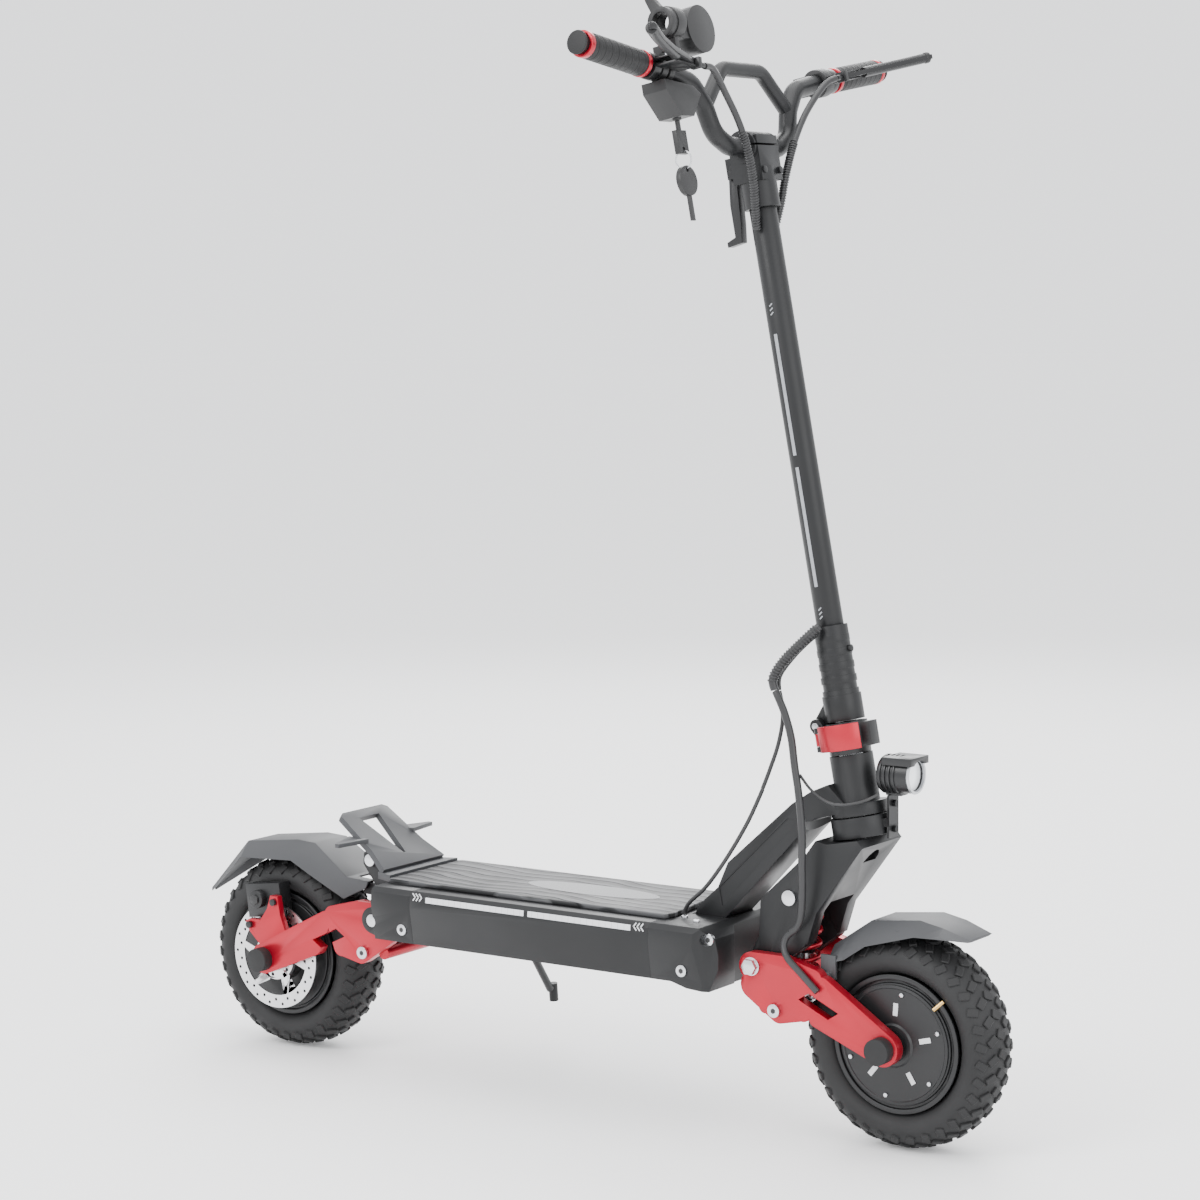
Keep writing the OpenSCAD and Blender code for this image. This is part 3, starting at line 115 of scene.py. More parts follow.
place_camera()
soft_light("key_light", (-0.8, -3.4, 3.2), (0, 0, 0.4), 2.0, 120)
soft_light("fill_light", (3.6, -1.0, 1.8), (0, 0, 0.5), 2.4, 50)
soft_light("back_light", (-1.6, 3.0, 2.6), (0, 0, 0.5), 2.2, 90)
soft_light("top_light", (0.2, 0.2, 3.6), (0, 0, 0), 2.8, 80)
sky = bpy.data.worlds.new("studio")
bpy.context.scene.world = sky
sky.use_nodes = True
sky.node_tree.nodes["Background"].inputs["Color"].default_value = (0.97, 0.98, 1.0, 1)
sky.node_tree.nodes["Background"].inputs["Strength"].default_value = 1.9


# ---- materials ----
class Wire:
    """A node's output. Wires add, multiply and so on, and node() makes any other node from them."""

    def __init__(self, tree, socket=None):
        self.tree = tree
        self.socket = socket

    def node(self, kind, settings, values, out=0):
        made = self.tree.nodes.new(kind)
        for key, value in settings.items():
            setattr(made, key, value)
        for key, value in values.items():
            if isinstance(value, Wire):
                self.tree.links.new(value.socket, made.inputs[key])
            else:
                made.inputs[key].default_value = value
        return Wire(self.tree, made.outputs[out])

    def math(self, operation, *values):
        return self.node("ShaderNodeMath", {"operation": operation}, dict(enumerate(values)))

    def __add__(self, other):
        return self.math("ADD", self, other)

    def __mul__(self, other):
        return self.math("MULTIPLY", self, other)

    def sine(self):
        return self.math("SINE", self)

    def fraction(self):
        return self.math("FRACT", self)

    def place(self):
        return self.node("ShaderNodeTexCoord", {}, {}, "Object")

    def axis(self, name):
        return self.node("ShaderNodeSeparateXYZ", {}, {0: self}, name)

    def noise(self, scale, detail=3.0, at=None):
        values = {"Vector": at or self.place(), "Scale": scale, "Detail": detail}
        return self.node("ShaderNodeTexNoise", {}, values)

    def ramp(self, low, high, new_low=0.0, new_high=1.0):
        values = {"From Min": low, "From Max": high, "To Min": new_low, "To Max": new_high}
        return self.node("ShaderNodeMapRange", {"clamp": True}, {"Value": self, **values})

    def mix(self, first, second):
        """first where this wire is 0, second where it is 1; both are colours."""
        settings = {"data_type": "RGBA"}
        return self.node("ShaderNodeMix", settings, {"Factor": self, 6: first, 7: second}, 2)

    def bump(self, strength, distance):
        return self.node("ShaderNodeBump", {}, {"Height": self, "Strength": strength, "Distance": distance})


def colour(r, g, b):
    return (r, g, b, 1.0)


def shade(rgb, gain):
    return colour(*(min(1, c * gain) for c in rgb))


def new_material(name, **inputs):
    """A material whose main shader takes these inputs, each a plain value or a wire."""
    made = bpy.data.materials.new(name)
    made.use_nodes = True
    tree = made.node_tree
    shader = tree.nodes["Principled BSDF"]
    for key, value in inputs.items():
        socket = shader.inputs[key.replace("_", " ")]
        if callable(value):
            value = value(Wire(tree))
        if isinstance(value, Wire):
            tree.links.new(value.socket, socket)
        else:
            socket.default_value = value
    return made


def uneven(rgb, scale=9, spread=0.18):
    """A colour that drifts a little lighter and darker over the surface."""
    return lambda w: w.noise(scale).ramp(0.3, 0.7).mix(shade(rgb, 1 - spread), shade(rgb, 1 + spread))


def cloudy(value, spread, scale=14):
    return lambda w: w.noise(scale, 5).ramp(0.3, 0.7, value - spread, value + spread)


def grain(scale, strength, distance, detail=2):
    """A fine surface grain; distance is its depth in metres."""
    return lambda w: w.noise(scale, detail).bump(strength, distance)


BLACK = (0.007, 0.0073, 0.008)
PAINTS = {
    "black_paint": new_material("black powder coat", Base_Color=uneven(BLACK), Specular_IOR_Level=0.35,
                                Roughness=cloudy(0.42, 0.05), Normal=grain(1400, 0.25, 0.00008)),
    "grey_paint": new_material("grey grained plastic", Base_Color=uneven((0.035, 0.036, 0.039), 7, 0.12),
                               Roughness=cloudy(0.52, 0.05), Normal=grain(1100, 0.35, 0.0001)),
    "red_paint": new_material("red anodised alloy", Base_Color=uneven((0.40, 0.005, 0.020), 11, 0.1),
                              Metallic=0.6, Roughness=cloudy(0.36, 0.05), Coat_Weight=0.25,
                              Coat_Roughness=0.2, Normal=grain(1800, 0.12, 0.00005)),
    "steel": new_material("bright zinc steel", Base_Color=uneven((0.62, 0.63, 0.65), 40, 0.08), Metallic=1.0,
                          Roughness=cloudy(0.28, 0.07, 90)),
    "alloy": new_material("plain alloy", Base_Color=uneven((0.6, 0.61, 0.63), 30, 0.06), Metallic=1.0,
                          Roughness=cloudy(0.36, 0.06, 60)),
    "black_plastic": new_material("black moulded plastic", Base_Color=uneven((0.010, 0.010, 0.0105)),
                                  Roughness=cloudy(0.46, 0.05), Normal=grain(900, 0.3, 0.0001)),
    "dark_alloy": new_material("black anodised alloy", Base_Color=uneven((0.010, 0.0102, 0.011)),
                               Metallic=0.2, Roughness=cloudy(0.38, 0.05), Normal=grain(1600, 0.15, 0.00006)),
    "rubber": new_material("grip rubber", Base_Color=uneven((0.012, 0.012, 0.0125)), Specular_IOR_Level=0.35,
                           Roughness=cloudy(0.6, 0.06), Normal=grain(700, 0.4, 0.00015)),
    "tyre": new_material("tyre rubber", Base_Color=uneven((0.013, 0.013, 0.0135), 12, 0.25),
                         Specular_IOR_Level=0.35, Roughness=cloudy(0.62, 0.08),
                         Normal=grain(500, 0.35, 0.0002)),
    "cable": new_material("cable sheath", Base_Color=uneven((0.016, 0.016, 0.017)),
                          Roughness=cloudy(0.44, 0.05)),
    "battery": new_material("blue cell wrap", Base_Color=uneven((0.02, 0.06, 0.2)),
                            Roughness=cloudy(0.4, 0.05)),
    "red_plastic": new_material("red button", Base_Color=uneven((0.6, 0.015, 0.02)),
                                Roughness=cloudy(0.35, 0.04)),
}
BOLT = PAINTS["steel"]


def strip_colour(w):
    """Light strips: a pale diffuser with a faint row of cells behind it."""
    cell = (w.place().axis("X") * 110).fraction()
    return cell.ramp(0.0, 0.12).mix(colour(0.44, 0.45, 0.47), colour(0.66, 0.67, 0.69))


PAINTS["lens"] = new_material("pale diffuser", Base_Color=strip_colour, Roughness=cloudy(0.3, 0.04),
                              Coat_Weight=0.4)
GLASS = new_material("clear lens", Base_Color=uneven((0.9, 0.92, 0.95), 60, 0.05),
                     Roughness=cloudy(0.08, 0.03), Coat_Weight=1.0, Emission_Color=colour(0.9, 0.95, 1.0),
                     Emission_Strength=0.25)
SILVER = new_material("silver bezel", Base_Color=uneven((0.55, 0.56, 0.58), 50, 0.06), Metallic=0.9,
                      Roughness=cloudy(0.33, 0.05, 70))
BRASS = new_material("brass", Base_Color=uneven((0.7, 0.45, 0.16), 60, 0.1), Metallic=1.0,
                     Roughness=cloudy(0.3, 0.06, 80))
WHITE = new_material("white print", Base_Color=uneven((0.62, 0.63, 0.64), 60, 0.05),
                     Roughness=cloudy(0.5, 0.05))
REFLECTOR = new_material("reflective strip", Base_Color=uneven((0.3, 0.31, 0.33), 90, 0.12), Metallic=0.3,
                         Roughness=cloudy(0.4, 0.05))


def mat_ridges(w):
    """Long flowing ridges along the deck mat, bent by a broad noise: 1 on a ridge, 0 between. It shapes the
    bump and also places painted shade between the ridges and painted highlight on them.
    """
    here = w.place()
    drift = w.noise(6, 2, here)
    line = (here.axis("Y") * 330 + here.axis("X") * 25 + drift * 24).sine()
    return line.ramp(-0.2, 0.45)


# Painted shade and painted highlight: the mat's colour is darker between the ridges and lighter on them,
# following the ridge mask.
VALLEY_SHADE = colour(0.006, 0.0062, 0.007)
RIDGE_HIGHLIGHT = colour(0.060, 0.061, 0.064)
MAT = new_material("ridged deck mat", Roughness=cloudy(0.46, 0.08),
                   Normal=lambda w: mat_ridges(w).bump(1.0, 0.0025),
                   Base_Color=lambda w: mat_ridges(w).mix(VALLEY_SHADE, RIDGE_HIGHLIGHT))
GLOSS = new_material("glossy black inset", Base_Color=uneven((0.02, 0.0205, 0.022), 30, 0.1),
                     Roughness=cloudy(0.16, 0.04), Coat_Weight=1.0)


def grip_ribs(w):
    """Rows of raised finger ribs across the grips."""
    across = (w.place().axis("Y") * 520).sine()
    return across.ramp(0.1, 0.5).bump(1.0, 0.002)


GRIP = new_material("ribbed grip rubber", Base_Color=uneven((0.012, 0.012, 0.0125)), Specular_IOR_Level=0.35,
                    Roughness=cloudy(0.6, 0.06), Normal=grip_ribs)


DISC = new_material("ground disc steel", Base_Color=uneven((0.66, 0.66, 0.67), 25, 0.06), Metallic=1.0,
                    Roughness=cloudy(0.3, 0.06, 40), Normal=grain(900, 0.08, 0.00005, 1))
PAINTS_BY_NODE = {
    "deck_mat": MAT, "grips": GRIP, "front_disc": DISC, "rear_disc": DISC, "headlight_lens": GLASS,
    "ignition_key": PAINTS["black_plastic"], "key_ring": PAINTS["black_plastic"],
}


def paint_for(node):
    return PAINTS_BY_NODE.get(node, PAINTS[SLOT_OF[node]])


# ---- making pieces ----
def only(piece):
    bpy.ops.object.select_all(action="DESELECT")
    piece.select_set(True)
    bpy.context.view_layer.objects.active = piece


def settle(piece, name, body, paint, smooth=35):
    """Applies the piece's place, shades it, paints it and lets it ride on a body."""
    only(piece)
    bpy.ops.object.transform_apply(location=True, rotation=True, scale=True)
    if smooth:
        bpy.ops.object.shade_smooth_by_angle(angle=math.radians(smooth))
    piece.name = name
    piece.data.materials.clear()
    piece.data.materials.append(paint)
    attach(piece, body)
    return piece


def bevelled(piece, width, segments=2, angle=30):
    """Rounds the piece's sharp edges; width is in millimetres."""
    only(piece)
    rounding = piece.modifiers.new("rounding", "BEVEL")
    rounding.width = width * MM
    rounding.segments = segments
    rounding.limit_method = "ANGLE"
    rounding.angle_limit = math.radians(angle)
    bpy.ops.object.modifier_apply(modifier=rounding.name)
    return piece


def finished_copy(node, width=0.8, segments=2):
    """A copy of a CAD node with its edges rounded, which stands for the node."""
    source = frame["nodes"][node]
    only(source)
    bpy.ops.object.duplicate()
    piece = bpy.context.object
    bpy.ops.object.parent_clear(type="CLEAR_KEEP_TRANSFORM")
    bpy.ops.object.mode_set(mode="EDIT")
    bpy.ops.mesh.select_all(action="SELECT")
    bpy.ops.mesh.remove_doubles(threshold=0.00001)
    bpy.ops.mesh.dissolve_limited(angle_limit=math.radians(1.0))
    bpy.ops.object.mode_set(mode="OBJECT")
    if width:
        bevelled(piece, width, segments)
    settle(piece, node + "_finished", BODY_OF[node], paint_for(node))
    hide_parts(node)
    return piece


def cylinder(name, place, axis, radius, length, body, paint, sides=32, rounding=0.0):
    """A short round bar centred on place; radius and length are in millimetres."""
    bpy.ops.mesh.primitive_cylinder_add(vertices=sides, radius=radius * MM, depth=length * MM, location=place)
    piece = bpy.context.object
    piece.rotation_euler = Vector(axis).to_track_quat("Z", "Y").to_euler()
    if rounding:
        bevelled(piece, rounding, 2, 50)
    return settle(piece, name, body, paint)


def block(name, place, size, body, paint, turn=None, rounding=0.5):
    """A rounded box centred on place; size is in millimetres, turn a rotation."""
    bpy.ops.mesh.primitive_cube_add(size=1, location=place)
    piece = bpy.context.object
    piece.scale = Vector(size) * MM
    bpy.ops.object.transform_apply(location=False, rotation=False, scale=True)
    if turn is not None:
        piece.rotation_euler = turn.to_euler()
    if rounding:
        bevelled(piece, rounding)
    return settle(piece, name, body, paint)


def turned(name, profile, place, axis, body, paint, sides=96, closed=False, bevel=0.0):
    """A turned piece: each profile point is [radius, height along the axis], in millimetres."""
    first = profile[0]
    bpy.ops.mesh.primitive_circle_add(vertices=sides, radius=first[0] * MM, location=(0, 0, 0))
    piece = bpy.context.object
    bpy.ops.object.mode_set(mode="EDIT")
    bpy.ops.mesh.select_all(action="SELECT")
    if not closed:
        bpy.ops.mesh.edge_face_add()
    bpy.ops.transform.translate(value=(0, 0, first[1] * MM))
    before = first
    for point in profile[1:]:
        climb = (point[1] - before[1]) * MM
        bpy.ops.mesh.extrude_region_move(TRANSFORM_OT_translate={"value": (0, 0, climb)})
        grow = point[0] / before[0]
        bpy.ops.transform.resize(value=(grow, grow, 1), center_override=(0, 0, 0))
        before = point
    bpy.ops.mesh.select_all(action="SELECT")
    bpy.ops.mesh.remove_doubles(threshold=0.000001)
    bpy.ops.mesh.normals_make_consistent(inside=False)
    bpy.ops.object.mode_set(mode="OBJECT")
    if bevel:
        bevelled(piece, bevel)
    piece.rotation_euler = Vector(axis).to_track_quat("Z", "Y").to_euler()
    piece.location = place
    return settle(piece, name, body, paint)


def smooth_path(points, steps=8):
    """A smooth line through given points."""
    line = []
    for i in range(len(points) - 1):
        a = points[max(i - 1, 0)]
        b = points[i]
        c = points[i + 1]
        d = points[min(i + 2, len(points) - 1)]
        for k in range(steps):
            t = k / steps
            line.append(0.5 * (2 * b + (c - a) * t + (2 * a - 5 * b + 4 * c - d) * t * t
                               + (3 * b - a - 3 * c + d) * t ** 3))
    line.append(points[-1])
    return line


def tube(name, line, radius, body, paint, sides=12):
    """A round tube along a line; radius is in millimetres."""
    bpy.ops.curve.primitive_nurbs_path_add()
    piece = bpy.context.object
    piece.data.splines.clear()
    spline = piece.data.splines.new("POLY")
    spline.points.add(len(line) - 1)
    for point, place in zip(spline.points, line):
        point.co = (*place, 1)
    piece.data.bevel_depth = radius * MM
    piece.data.bevel_resolution = max(1, sides // 4 - 1)
    piece.data.use_fill_caps = True
    only(piece)
    bpy.ops.object.convert(target="MESH")
    return settle(bpy.context.object, name, body, paint, 60)


def wrap(name, line, radius, wire, pitch, body, paint):
    """A coil of thin wire round a line, as on a spiral-wrapped loom; sizes are in millimetres."""
    turns = []
    travelled = 0.0
    for here, there in zip(line, line[1:]):
        step = there - here
        ahead = step.normalized()
        across = ahead.cross(Vector((0.3, 0.9, 0.2))).normalized()
        pieces = max(1, int(step.length / (pitch * MM) * 10))
        for k in range(pieces):
            angle = 2 * math.pi * (travelled + step.length * k / pieces) / (pitch * MM)
            out = across * math.cos(angle) + ahead.cross(across) * math.sin(angle)
            turns.append(here + step * (k / pieces) + out * radius * MM)
        travelled += step.length
    return tube(name, turns, wire, body, paint, sides=8)


# ---- CAD nodes with rounded edges ----
EDGE = {
    "deck_shell": 1.2, "front_casting": 2.0, "rear_casting": 1.2, "neck": 2.2, "tail_plate": 1.0,
    "rear_fender": 1.0, "front_fender": 1.0, "fork": 2.2, "fold_base": 0.8, "headlight": 0.6,
    "headlight_bracket": 0.6, "clamp_lever": 0.9, "stem_head": 1.6, "lever_perches": 1.0, "display_unit": 1.0,
    "key_box": 2.2, "switch_pod": 1.4, "fold_hook": 0.8, "throttle_trigger": 0.6, "front_arm": 1.3,
    "rear_arm": 1.3, "front_brake": 1.0, "rear_brake": 1.0, "stem_sleeve": 0.6,
    "kickstand": 0.6, "deck_mat": 1.2, "brake_lever_right": 1.0, "brake_lever_left": 1.0,
    "ignition_key": 0.5, "key_ring": 0.3, "grips": 1.0, "grip_collars": 0.6, "fork_bolts": 0.4,
    "rear_bolts": 0.4, "deck_fittings": 0.4, "front_axle": 0.5, "rear_axle": 0.5, "front_hub": 0.8,
    "rear_hub": 0.8,
    "display_button": 0.3, "horn_button": 0.3, "front_shock_body": 0.5, "rear_shock_body": 0.5,
    "front_shock_rod": 0.5, "rear_shock_rod": 0.5, "stem_tube": 0.4, "side_lights": 0.3,
    "power_pack": 0.6, "headlight_lens": 0.4, "front_disc": 0.0, "rear_disc": 0.0,
}
for node, edge in EDGE.items():
    finished_copy(node, edge)


# ---- tyres with their tread ----
TYRE_R = FRONT_HUB.z / MM
TREAD = 4.0
SECTION_R = 24.0
SECTION_W = 38.0
LUG_COUNT = 34
# each row of tread lugs: [across the tyre, width, length, slant in degrees]
LUG_ROWS = ((7.0, 13.0, 10.0, 30), (21.0, 14.0, 9.0, -34), (33.0, 13.0, 9.5, 26))


def make_tyre(name, hub, body, node):
    """A round casing that stands for the CAD tyre, and its tread lugs as one piece."""
    centre = TYRE_R - TREAD + 0.6 - SECTION_R
    bpy.ops.mesh.primitive_circle_add(vertices=40, radius=SECTION_R * MM, location=(0, 0, 0))
    piece = bpy.context.object
    bpy.ops.object.mode_set(mode="EDIT")
    bpy.ops.mesh.select_all(action="SELECT")
    bpy.ops.transform.resize(value=(1, SECTION_W / SECTION_R, 1), center_override=(0, 0, 0))
    bpy.ops.transform.translate(value=(centre * MM, 0, 0))
    bpy.ops.mesh.spin(steps=120, angle=2 * math.pi, center=(0, 0, 0), axis=(0, 1, 0))
    bpy.ops.mesh.select_all(action="SELECT")
    bpy.ops.mesh.remove_doubles(threshold=0.00001)
    bpy.ops.mesh.normals_make_consistent(inside=False)
    bpy.ops.object.mode_set(mode="OBJECT")
    piece.location = hub
    settle(piece, name + "_casing", body, PAINTS["tyre"], 60)
    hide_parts(node)
    bpy.ops.mesh.primitive_cube_add(size=0.001, location=(0, 0, 0))
    lugs = bpy.context.object
    bpy.ops.object.mode_set(mode="EDIT")
    bpy.ops.mesh.select_all(action="SELECT")
    bpy.ops.mesh.delete(type="VERT")
    for row, (across, width, length, slant) in enumerate(LUG_ROWS):
        lean = math.asin(across / SECTION_W)
        out = centre + SECTION_R * math.cos(lean)
        tilt = math.atan2(SECTION_R * math.sin(lean), SECTION_W * math.cos(lean))
        height = TREAD if row < 2 else TREAD * 0.8
        for side in (-1, 1):
            for k in range(LUG_COUNT):
                turn = 2 * math.pi * (k + 0.5 * (side > 0) + 0.25 * row) / LUG_COUNT
                spot = Matrix.Rotation(turn, 4, "Y") @ Matrix.Translation((out * MM, side * across * MM, 0))
                spot = spot @ Matrix.Rotation(side * tilt, 4, "Z") @ Matrix.Rotation(
                    side * math.radians(slant), 4, "X")
                spot = spot @ Matrix.Translation(((height / 2 - 2.0) * MM, 0, 0))
                where, how, _ = spot.decompose()
                bpy.ops.mesh.primitive_cube_add(
                    size=1, location=where, rotation=how.to_euler(),
                    scale=((height + 1.6) * MM, width * MM, length * MM))
    bpy.ops.mesh.select_all(action="SELECT")
    bpy.ops.mesh.bevel(offset=0.9 * MM, segments=1)
    bpy.ops.object.mode_set(mode="OBJECT")
    lugs.location = hub
    settle(lugs, name + "_tread", body, PAINTS["tyre"], 30)


make_tyre("front_tyre", FRONT_HUB, "front_wheel", "front_tyre")
make_tyre("rear_tyre", REAR_HUB, "rear_wheel", "rear_tyre")


# ---- handlebar: one swept tube and its brace, in [side, height along the stem] ----
BAR_Z = 784
BAR_RISE = math.radians(8.5)
BEND_SIDE = 152
BEND_UP = 80


def rounded(points, bend, steps=10):
    """The corners of a flat line replaced with arcs of radius bend."""
    points = [Vector(p) for p in points]
    line = [points[0]]
    for before, corner, after in zip(points, points[1:], points[2:]):
        a = (before - corner).normalized()
        b = (after - corner).normalized()
        half = a.angle(b) / 2
        reach = bend / math.tan(half)
        centre = corner + (a + b).normalized() * bend / math.sin(half)
        start = corner + a * reach - centre
        end = corner + b * reach - centre
        for k in range(steps + 1):
            t = k / steps
            out = (start * (1 - t) + end * t).normalized()
            line.append(centre + out * bend)
    line.append(points[-1])
    return [on_head(0, p.x, p.y) for p in line]


def handlebar():
    half = [(52, 0), (80, 14), (91, 46), (112, 72), (BEND_SIDE, BEND_UP),
            (BEND_SIDE + 168, BEND_UP + 168 * math.tan(BAR_RISE))]
    points = [(-y, BAR_Z + z) for y, z in reversed(half)] + [(y, BAR_Z + z) for y, z in half]
    bar = tube("handlebar_tube", rounded(points, 30), 11.1, "stem", PAINTS["black_paint"], 40)
    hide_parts("handlebar")
    brace = [(-90, BAR_Z + 44), (-42, BAR_Z + 91), (42, BAR_Z + 91), (90, BAR_Z + 44)]
    tube("handlebar_brace", rounded(brace, 24), 9.0, "stem", PAINTS["black_paint"], 40)


handlebar()


# ---- rubber caps on the axle ends ----
CAP_R = 18
PLAIN_FACE = 63.9
DISC_FACE = 75.9


def axle_caps(node, hub, turn):
    """Paints the caps black. The disc side of the axle stands further out than the plain side."""
    piece = bpy.data.objects[node + "_finished"]
    piece.data.materials.append(PAINTS["rubber"])
    for face in piece.data.polygons:
        away = face.center - hub
        near_axle = math.hypot(away.x, away.z) < CAP_R * MM
        side = away.y * turn / MM
        if near_axle and (side < -PLAIN_FACE or side > DISC_FACE):
            face.material_index = 1


axle_caps("front_axle", FRONT_HUB, 1)
axle_caps("rear_axle", REAR_HUB, -1)


# ---- brake lever blades, fuller than the flat plate inside them ----
def lever_blade(name, side, body):
    """A swept blade through points given as [ahead of the bar, out along the bar from its bend]."""
    spots = [(46, 52), (50, 66), (58, 90), (66, 112), (75, 134), (82, 148)]
    line = smooth_path([on_head(ahead, side * (BEND_SIDE + out * math.cos(BAR_RISE)),
                                BAR_Z + BEND_UP + out * math.sin(BAR_RISE)) for ahead, out in spots], 6)
    tube(name, line, 6.2, body, PAINTS["dark_alloy"], 24)
    cylinder(name + "_tip", line[-1], line[-1] - line[-2], 6.9, 7, body, PAINTS["dark_alloy"],
             32, 1.5)


lever_blade("left_blade", 1, "brake_lever_left")
lever_blade("right_blade", -1, "brake_lever_right")


# ---- brake calipers: the round piston housing and its cap ----
def piston(name, hub, turn, body):
    out = Vector((0, turn, 0))
    spot = hub + Vector((16 * turn, 0, 76)) * MM
    cylinder(name + "_housing", spot + out * 66.6 * MM, out, 12, 10, body, PAINTS["dark_alloy"],
             48, 1.2)
    cylinder(name + "_cap", spot + out * 72.6 * MM, out, 7, 3, body, PAINTS["black_plastic"],
             6, 0.5)


piston("front_caliper", FRONT_HUB, 1, "front_arm")
piston("rear_caliper", REAR_HUB, -1, "rear_arm")


# ---- painted shade: flat black hexagons standing for the shaded sockets in the round bolt heads ----
FRONT_LUG = FRONT_PIVOT + Vector((32, 0, -49)) * MM
REAR_LUG = REAR_PIVOT + Vector((-33, 0, -49)) * MM
DECK_BOLTS = ((-196, 199, 102), (225, 197, 102), (257, 236, 92))


def socket_shades():
    """Black discs painted as the shade in the sockets of the deck's bolts, each [x, z, side], and on both
    ends of each shock's lower bolt.
    """
    spots = []
    for side in (-1, 1):
        for x, z, y in DECK_BOLTS:
            spots.append(("frame", Vector((x, side * y, z)) * MM, side))
    for body, lug, turn in (("front_arm", FRONT_LUG, 1), ("rear_arm", REAR_LUG, -1)):
        spots.append((body, lug + Vector((0, -68 * turn, 0)) * MM, -turn))
        spots.append((body, lug + Vector((0, 80 * turn, 0)) * MM, turn))
    for k, (body, spot, side) in enumerate(spots):
        # Each socket is a thin black disc on the bolt face, painted shade where the recess would be.
        cylinder(f"bolt_socket_{k}", spot, (0, side, 0), 3.4, 0.5, body, PAINTS["black_plastic"],
                 6, 0)


socket_shades()


# ---- glossy inset in the middle of the deck mat ----
def mat_inset():
    bpy.ops.mesh.primitive_cylinder_add(vertices=96, radius=1, depth=1, location=Vector((28, 0, 256.05)) * MM)
    piece = bpy.context.object
    piece.scale = (98 * MM, 27 * MM, 0.5 * MM)
    settle(piece, "mat_inset", "frame", GLOSS, 30)


mat_inset()


# ---- cables, along the same points as the CAD ----
def cable(name, points, radius, body):
    line = smooth_path([Vector(p) * MM for p in points])
    tube(name, line, radius, body, PAINTS["cable"])
    return line


def looms():
    cable("deck_cable", [
        [198, -52, 252.8], [199, -52, 259], [207, -53, 270], [232, -55, 292], [262, -56, 330],
        [290, -55, 374], [310, -54, 414]
    ], 2.5, "frame")
    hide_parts("deck_loom")
    cable("hub_cable", [
        [326, -50, 530], [331, -51, 522], [340, -52, 504], [350, -55, 478], [357, -59, 446], [366, -65, 414],
        [372, -68, 370], [371, -67, 330], [370, -65, 296], [366, -62, 270], [359.5, -60, 256.5],
        [352.25, -60, 250.25]
    ], 4.5, "steering")
    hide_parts("fork_loom")
    cable("link_cable", [
        [310, -54, 415], [318, -52, 436], [328, -49, 466], [332, -45, 494], [329, -41, 515], [324.6, -39, 529]
    ], 2.5, "steering")
    cable("lamp_cable", [
        [362, -56, 436], [375, -54, 420], [392, -52, 408], [410, -50, 404], [434, -40, 408], [448, -22, 416]
    ], 1.8, "steering")
    cable("arm_cable", [
        [351.7, -60, 249.75], [345.5, -61, 243], [344.5, -64.5, 233], [352, -68.4, 221], [369, -68.6, 206],
        [392, -68.5, 186]
    ], 4, "front_arm")
    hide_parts("front_arm_loom")
    right = cable("right_brake_cable", [
        [294.8, -142.8, 1240.9], [293, -122, 1238], [288, -88, 1212], [288, -60, 1180], [290, -44, 1146],
        [290, -34, 1112], [288, -28, 1088], [285, -20.4, 1062]
    ], 4, "stem")
    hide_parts("bar_looms")
    left = cable("left_brake_cable", [
        [294.8, 142.8, 1240.9], [290, 124, 1232], [286, 90, 1200], [286, 62, 1164], [288, 40, 1126],
        [288, 29, 1094], [286, 20.5, 1068]
    ], 4, "stem")
    foot = cable("foot_cable", [
        [371, -25.6, 606], [356, -35, 590], [334, -44, 566], [322, -49, 545], [325, -50, 531.4]
    ], 5, "stem")
    cable("foot_thin_cable", [
        [366, -24, 596], [344, -31, 574], [325, -37, 548], [324.2, -39, 530.2]
    ], 2.5, "stem")
    wrap("right_coil", right[26:], 4.2, 1.1, 3.2, "stem", PAINTS["cable"])
    wrap("left_coil", left[24:], 4.2, 1.1, 3.2, "stem", PAINTS["cable"])
    wrap("foot_coil", foot[2:-6], 5.2, 1.3, 3.8, "stem", PAINTS["cable"])


looms()


# ---- shock springs ----
SPRING_SEAT = 26 * MM
COIL_R = 15.5 * MM
WIRE_R = 3 * MM
TURNS = 5


def spring(name, eye, lug, body, joint, node):
    """A round wire coil between the shock's two seats, riding on the shock."""
    axis = (eye - lug).normalized()
    low = SPRING_SEAT
    high = (eye - lug).length - SPRING_SEAT
    bpy.ops.mesh.primitive_circle_add(vertices=14, radius=WIRE_R, rotation=(math.pi / 2, 0, 0))
    piece = bpy.context.object
    bpy.ops.object.transform_apply(location=False, rotation=True, scale=False)
    bpy.ops.object.mode_set(mode="EDIT")
    bpy.ops.mesh.select_all(action="SELECT")
    bpy.ops.transform.translate(value=(COIL_R, 0, 0))
    bpy.ops.object.mode_set(mode="OBJECT")
    coil = piece.modifiers.new("coil", "SCREW")
    coil.steps = 28
    coil.iterations = TURNS
    coil.screw_offset = (high - low) / TURNS
    coil.axis = "Z"
    coil.use_normal_calculate = True
    bpy.ops.object.modifier_apply(modifier=coil.name)
    bpy.ops.object.mode_set(mode="EDIT")
    bpy.ops.mesh.select_all(action="SELECT")
    bpy.ops.mesh.normals_make_consistent(inside=False)
    bpy.ops.mesh.select_all(action="DESELECT")
    bpy.ops.mesh.select_non_manifold()
    bpy.ops.mesh.edge_face_add()
    bpy.ops.object.mode_set(mode="OBJECT")
    piece.rotation_euler = axis.to_track_quat("Z", "Y").to_euler()
    piece.location = lug + axis * low
    settle(piece, name, body, PAINTS["red_paint"], 60)
    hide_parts(node)
    travel = abs(JOINTS[joint]["range_m"][1])
    1 - travel / (high - low)
    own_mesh(piece)


spring("front_spring_coil", FRONT_EYE, FRONT_LUG, "front_shock", "front_shock_slide", "front_spring")
spring("rear_spring_coil", REAR_EYE, REAR_LUG, "rear_shock", "rear_shock_slide", "rear_spring")


# ---- motor covers ----
HUB_FACE = 33.02


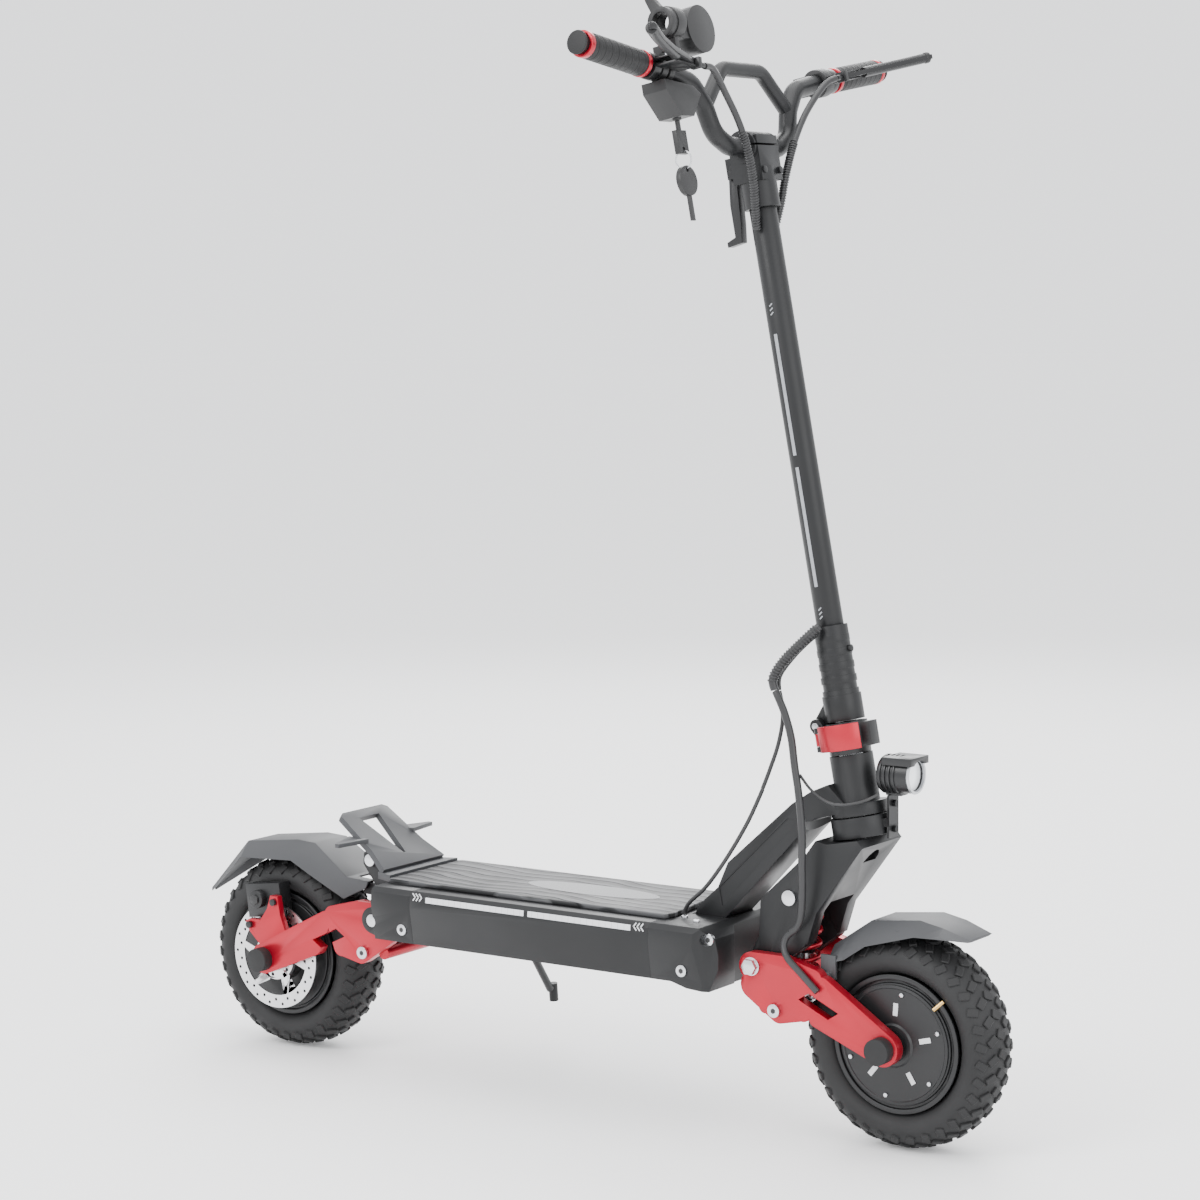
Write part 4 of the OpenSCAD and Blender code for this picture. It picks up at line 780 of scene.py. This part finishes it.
def motor_cover(name, hub, side, body):
    """The hub motor's side cover: stepped plate, screws, white marks and the tyre valve."""
    out = Vector((0, side, 0))
    face = hub + out * HUB_FACE * MM
    profile = [[70, 0], [70, 2.5], [67, 3.5], [66, 2.6], [48, 3.6], [26, 5.2], [24, 7.5], [19, 8], [18, 6.5],
               [12, 6.5]]
    turned(name + "_cover", profile, face, out, body, PAINTS["dark_alloy"], 96)
    for k in range(6):
        angle = 2 * math.pi * k / 6 + 0.35
        spot = hub + Vector((math.cos(angle), 0, math.sin(angle))) * 61 * MM
        cylinder(f"{name}_screw_{k}", spot + out * 37 * MM, out, 2.6, 2.4, body, BOLT, 16, 0.4)
    for k in range(5):
        angle = 2 * math.pi * k / 5 + 0.25
        spot = hub + Vector((math.cos(angle), 0, math.sin(angle))) * 39 * MM
        block(f"{name}_mark_{k}", spot + out * 37.3 * MM, (22, 0.5, 6), body, WHITE,
              Quaternion((0, 1, 0), -angle), 0)
    spot = hub + Vector((math.cos(0.75), 0, math.sin(0.75))) * 77 * MM
    lean = Vector((-0.65, 0.4 * side, -0.65))
    cylinder(name + "_valve", spot + out * 33 * MM, lean, 2.6, 15, body, BRASS)


motor_cover("front_motor_right", FRONT_HUB, -1, "front_wheel")
motor_cover("rear_motor_left", REAR_HUB, 1, "rear_wheel")


# ---- deck details ----
STRIP_Z = 244
DECK_SIDE = 104.7


def chevrons(name, x, heading):
    """Three small slanted marks at the end of a light strip, on both sides of the deck."""
    for side in (-1, 1):
        for k in range(3):
            for half in (-1, 1):
                spot = Vector((x + heading * 5.0 * k, side * DECK_SIDE, STRIP_Z + half * 2.2)) * MM
                turn = Quaternion((0, 1, 0), heading * half * math.radians(40))
                block(f"{name}_{'l' if side > 0 else 'r'}_{k}_{'a' if half > 0 else 'b'}", spot,
                      (1.5, 0.5, 6.4), "frame", WHITE, turn, 0)


chevrons("front_chevron", 162, 1)
chevrons("rear_chevron", -162, -1)


# ---- stem strips ----
STEM_R = 16.0


def stem_strips():
    """Two long reflective strips and short marks on the stem's right side."""
    around = math.radians(268)
    out = AHEAD * math.cos(around) + SIDE * math.sin(around)
    turn = Matrix((out, STEM_AXIS.cross(out), STEM_AXIS)).transposed().to_quaternion()
    for name, low, high in (("low_strip", 270, 410), ("high_strip", 424, 566)):
        spot = on_head(0, 0, (low + high) / 2) + out * STEM_R * MM
        block(name, spot, (0.6, 4.2, high - low), "stem", REFLECTOR, turn, 0)
    for end, start, way in (("low", 244, -1), ("high", 590, 1)):
        for k in range(3):
            spot = on_head(0, 0, start + way * 5 * k) + out * STEM_R * MM
            tilt = turn @ Quaternion((1, 0, 0), math.radians(35))
            block(f"{end}_mark_{k}", spot, (0.6, 5.0, 1.4), "stem", REFLECTOR, tilt, 0)


stem_strips()


# ---- the key's split ring ----
def split_ring():
    radius = 10.4
    hang = 34.2
    bpy.ops.mesh.primitive_torus_add(major_radius=radius * MM, minor_radius=0.95 * MM, major_segments=48,
                                     minor_segments=12, location=on_head(2, -154, BAR_Z + 26 - hang - radius))
    piece = bpy.context.object
    piece.rotation_euler = (math.pi / 2, -math.radians(10.5), 0)
    settle(piece, "split_ring", "key_ring", BOLT, 60)


split_ring()

# ---- headlight ----
LAMP_X = HEAD.x / MM + 24 + 8
LAMP_Z = HEAD.z / MM + 52
turned("headlight_bezel", [[17.8, 0], [21.4, 0], [21.8, 1.2], [21, 2.6], [18.4, 2.6], [17.8, 0]],
       Vector((LAMP_X + 40, 0, LAMP_Z)) * MM, (1, 0, 0), "steering", SILVER, 64, True)

# ---- floor ----
bpy.ops.mesh.primitive_plane_add(size=300, location=(0, 0, -0.0004))
floor = bpy.context.object
floor.name = "floor"
floor.data.materials.append(new_material("pale floor", Base_Color=uneven((0.93, 0.93, 0.93), 0.6, 0.005),
                                         Roughness=cloudy(0.7, 0.03, 2), Emission_Color=colour(1, 1, 1),
                                         Emission_Strength=0.12))
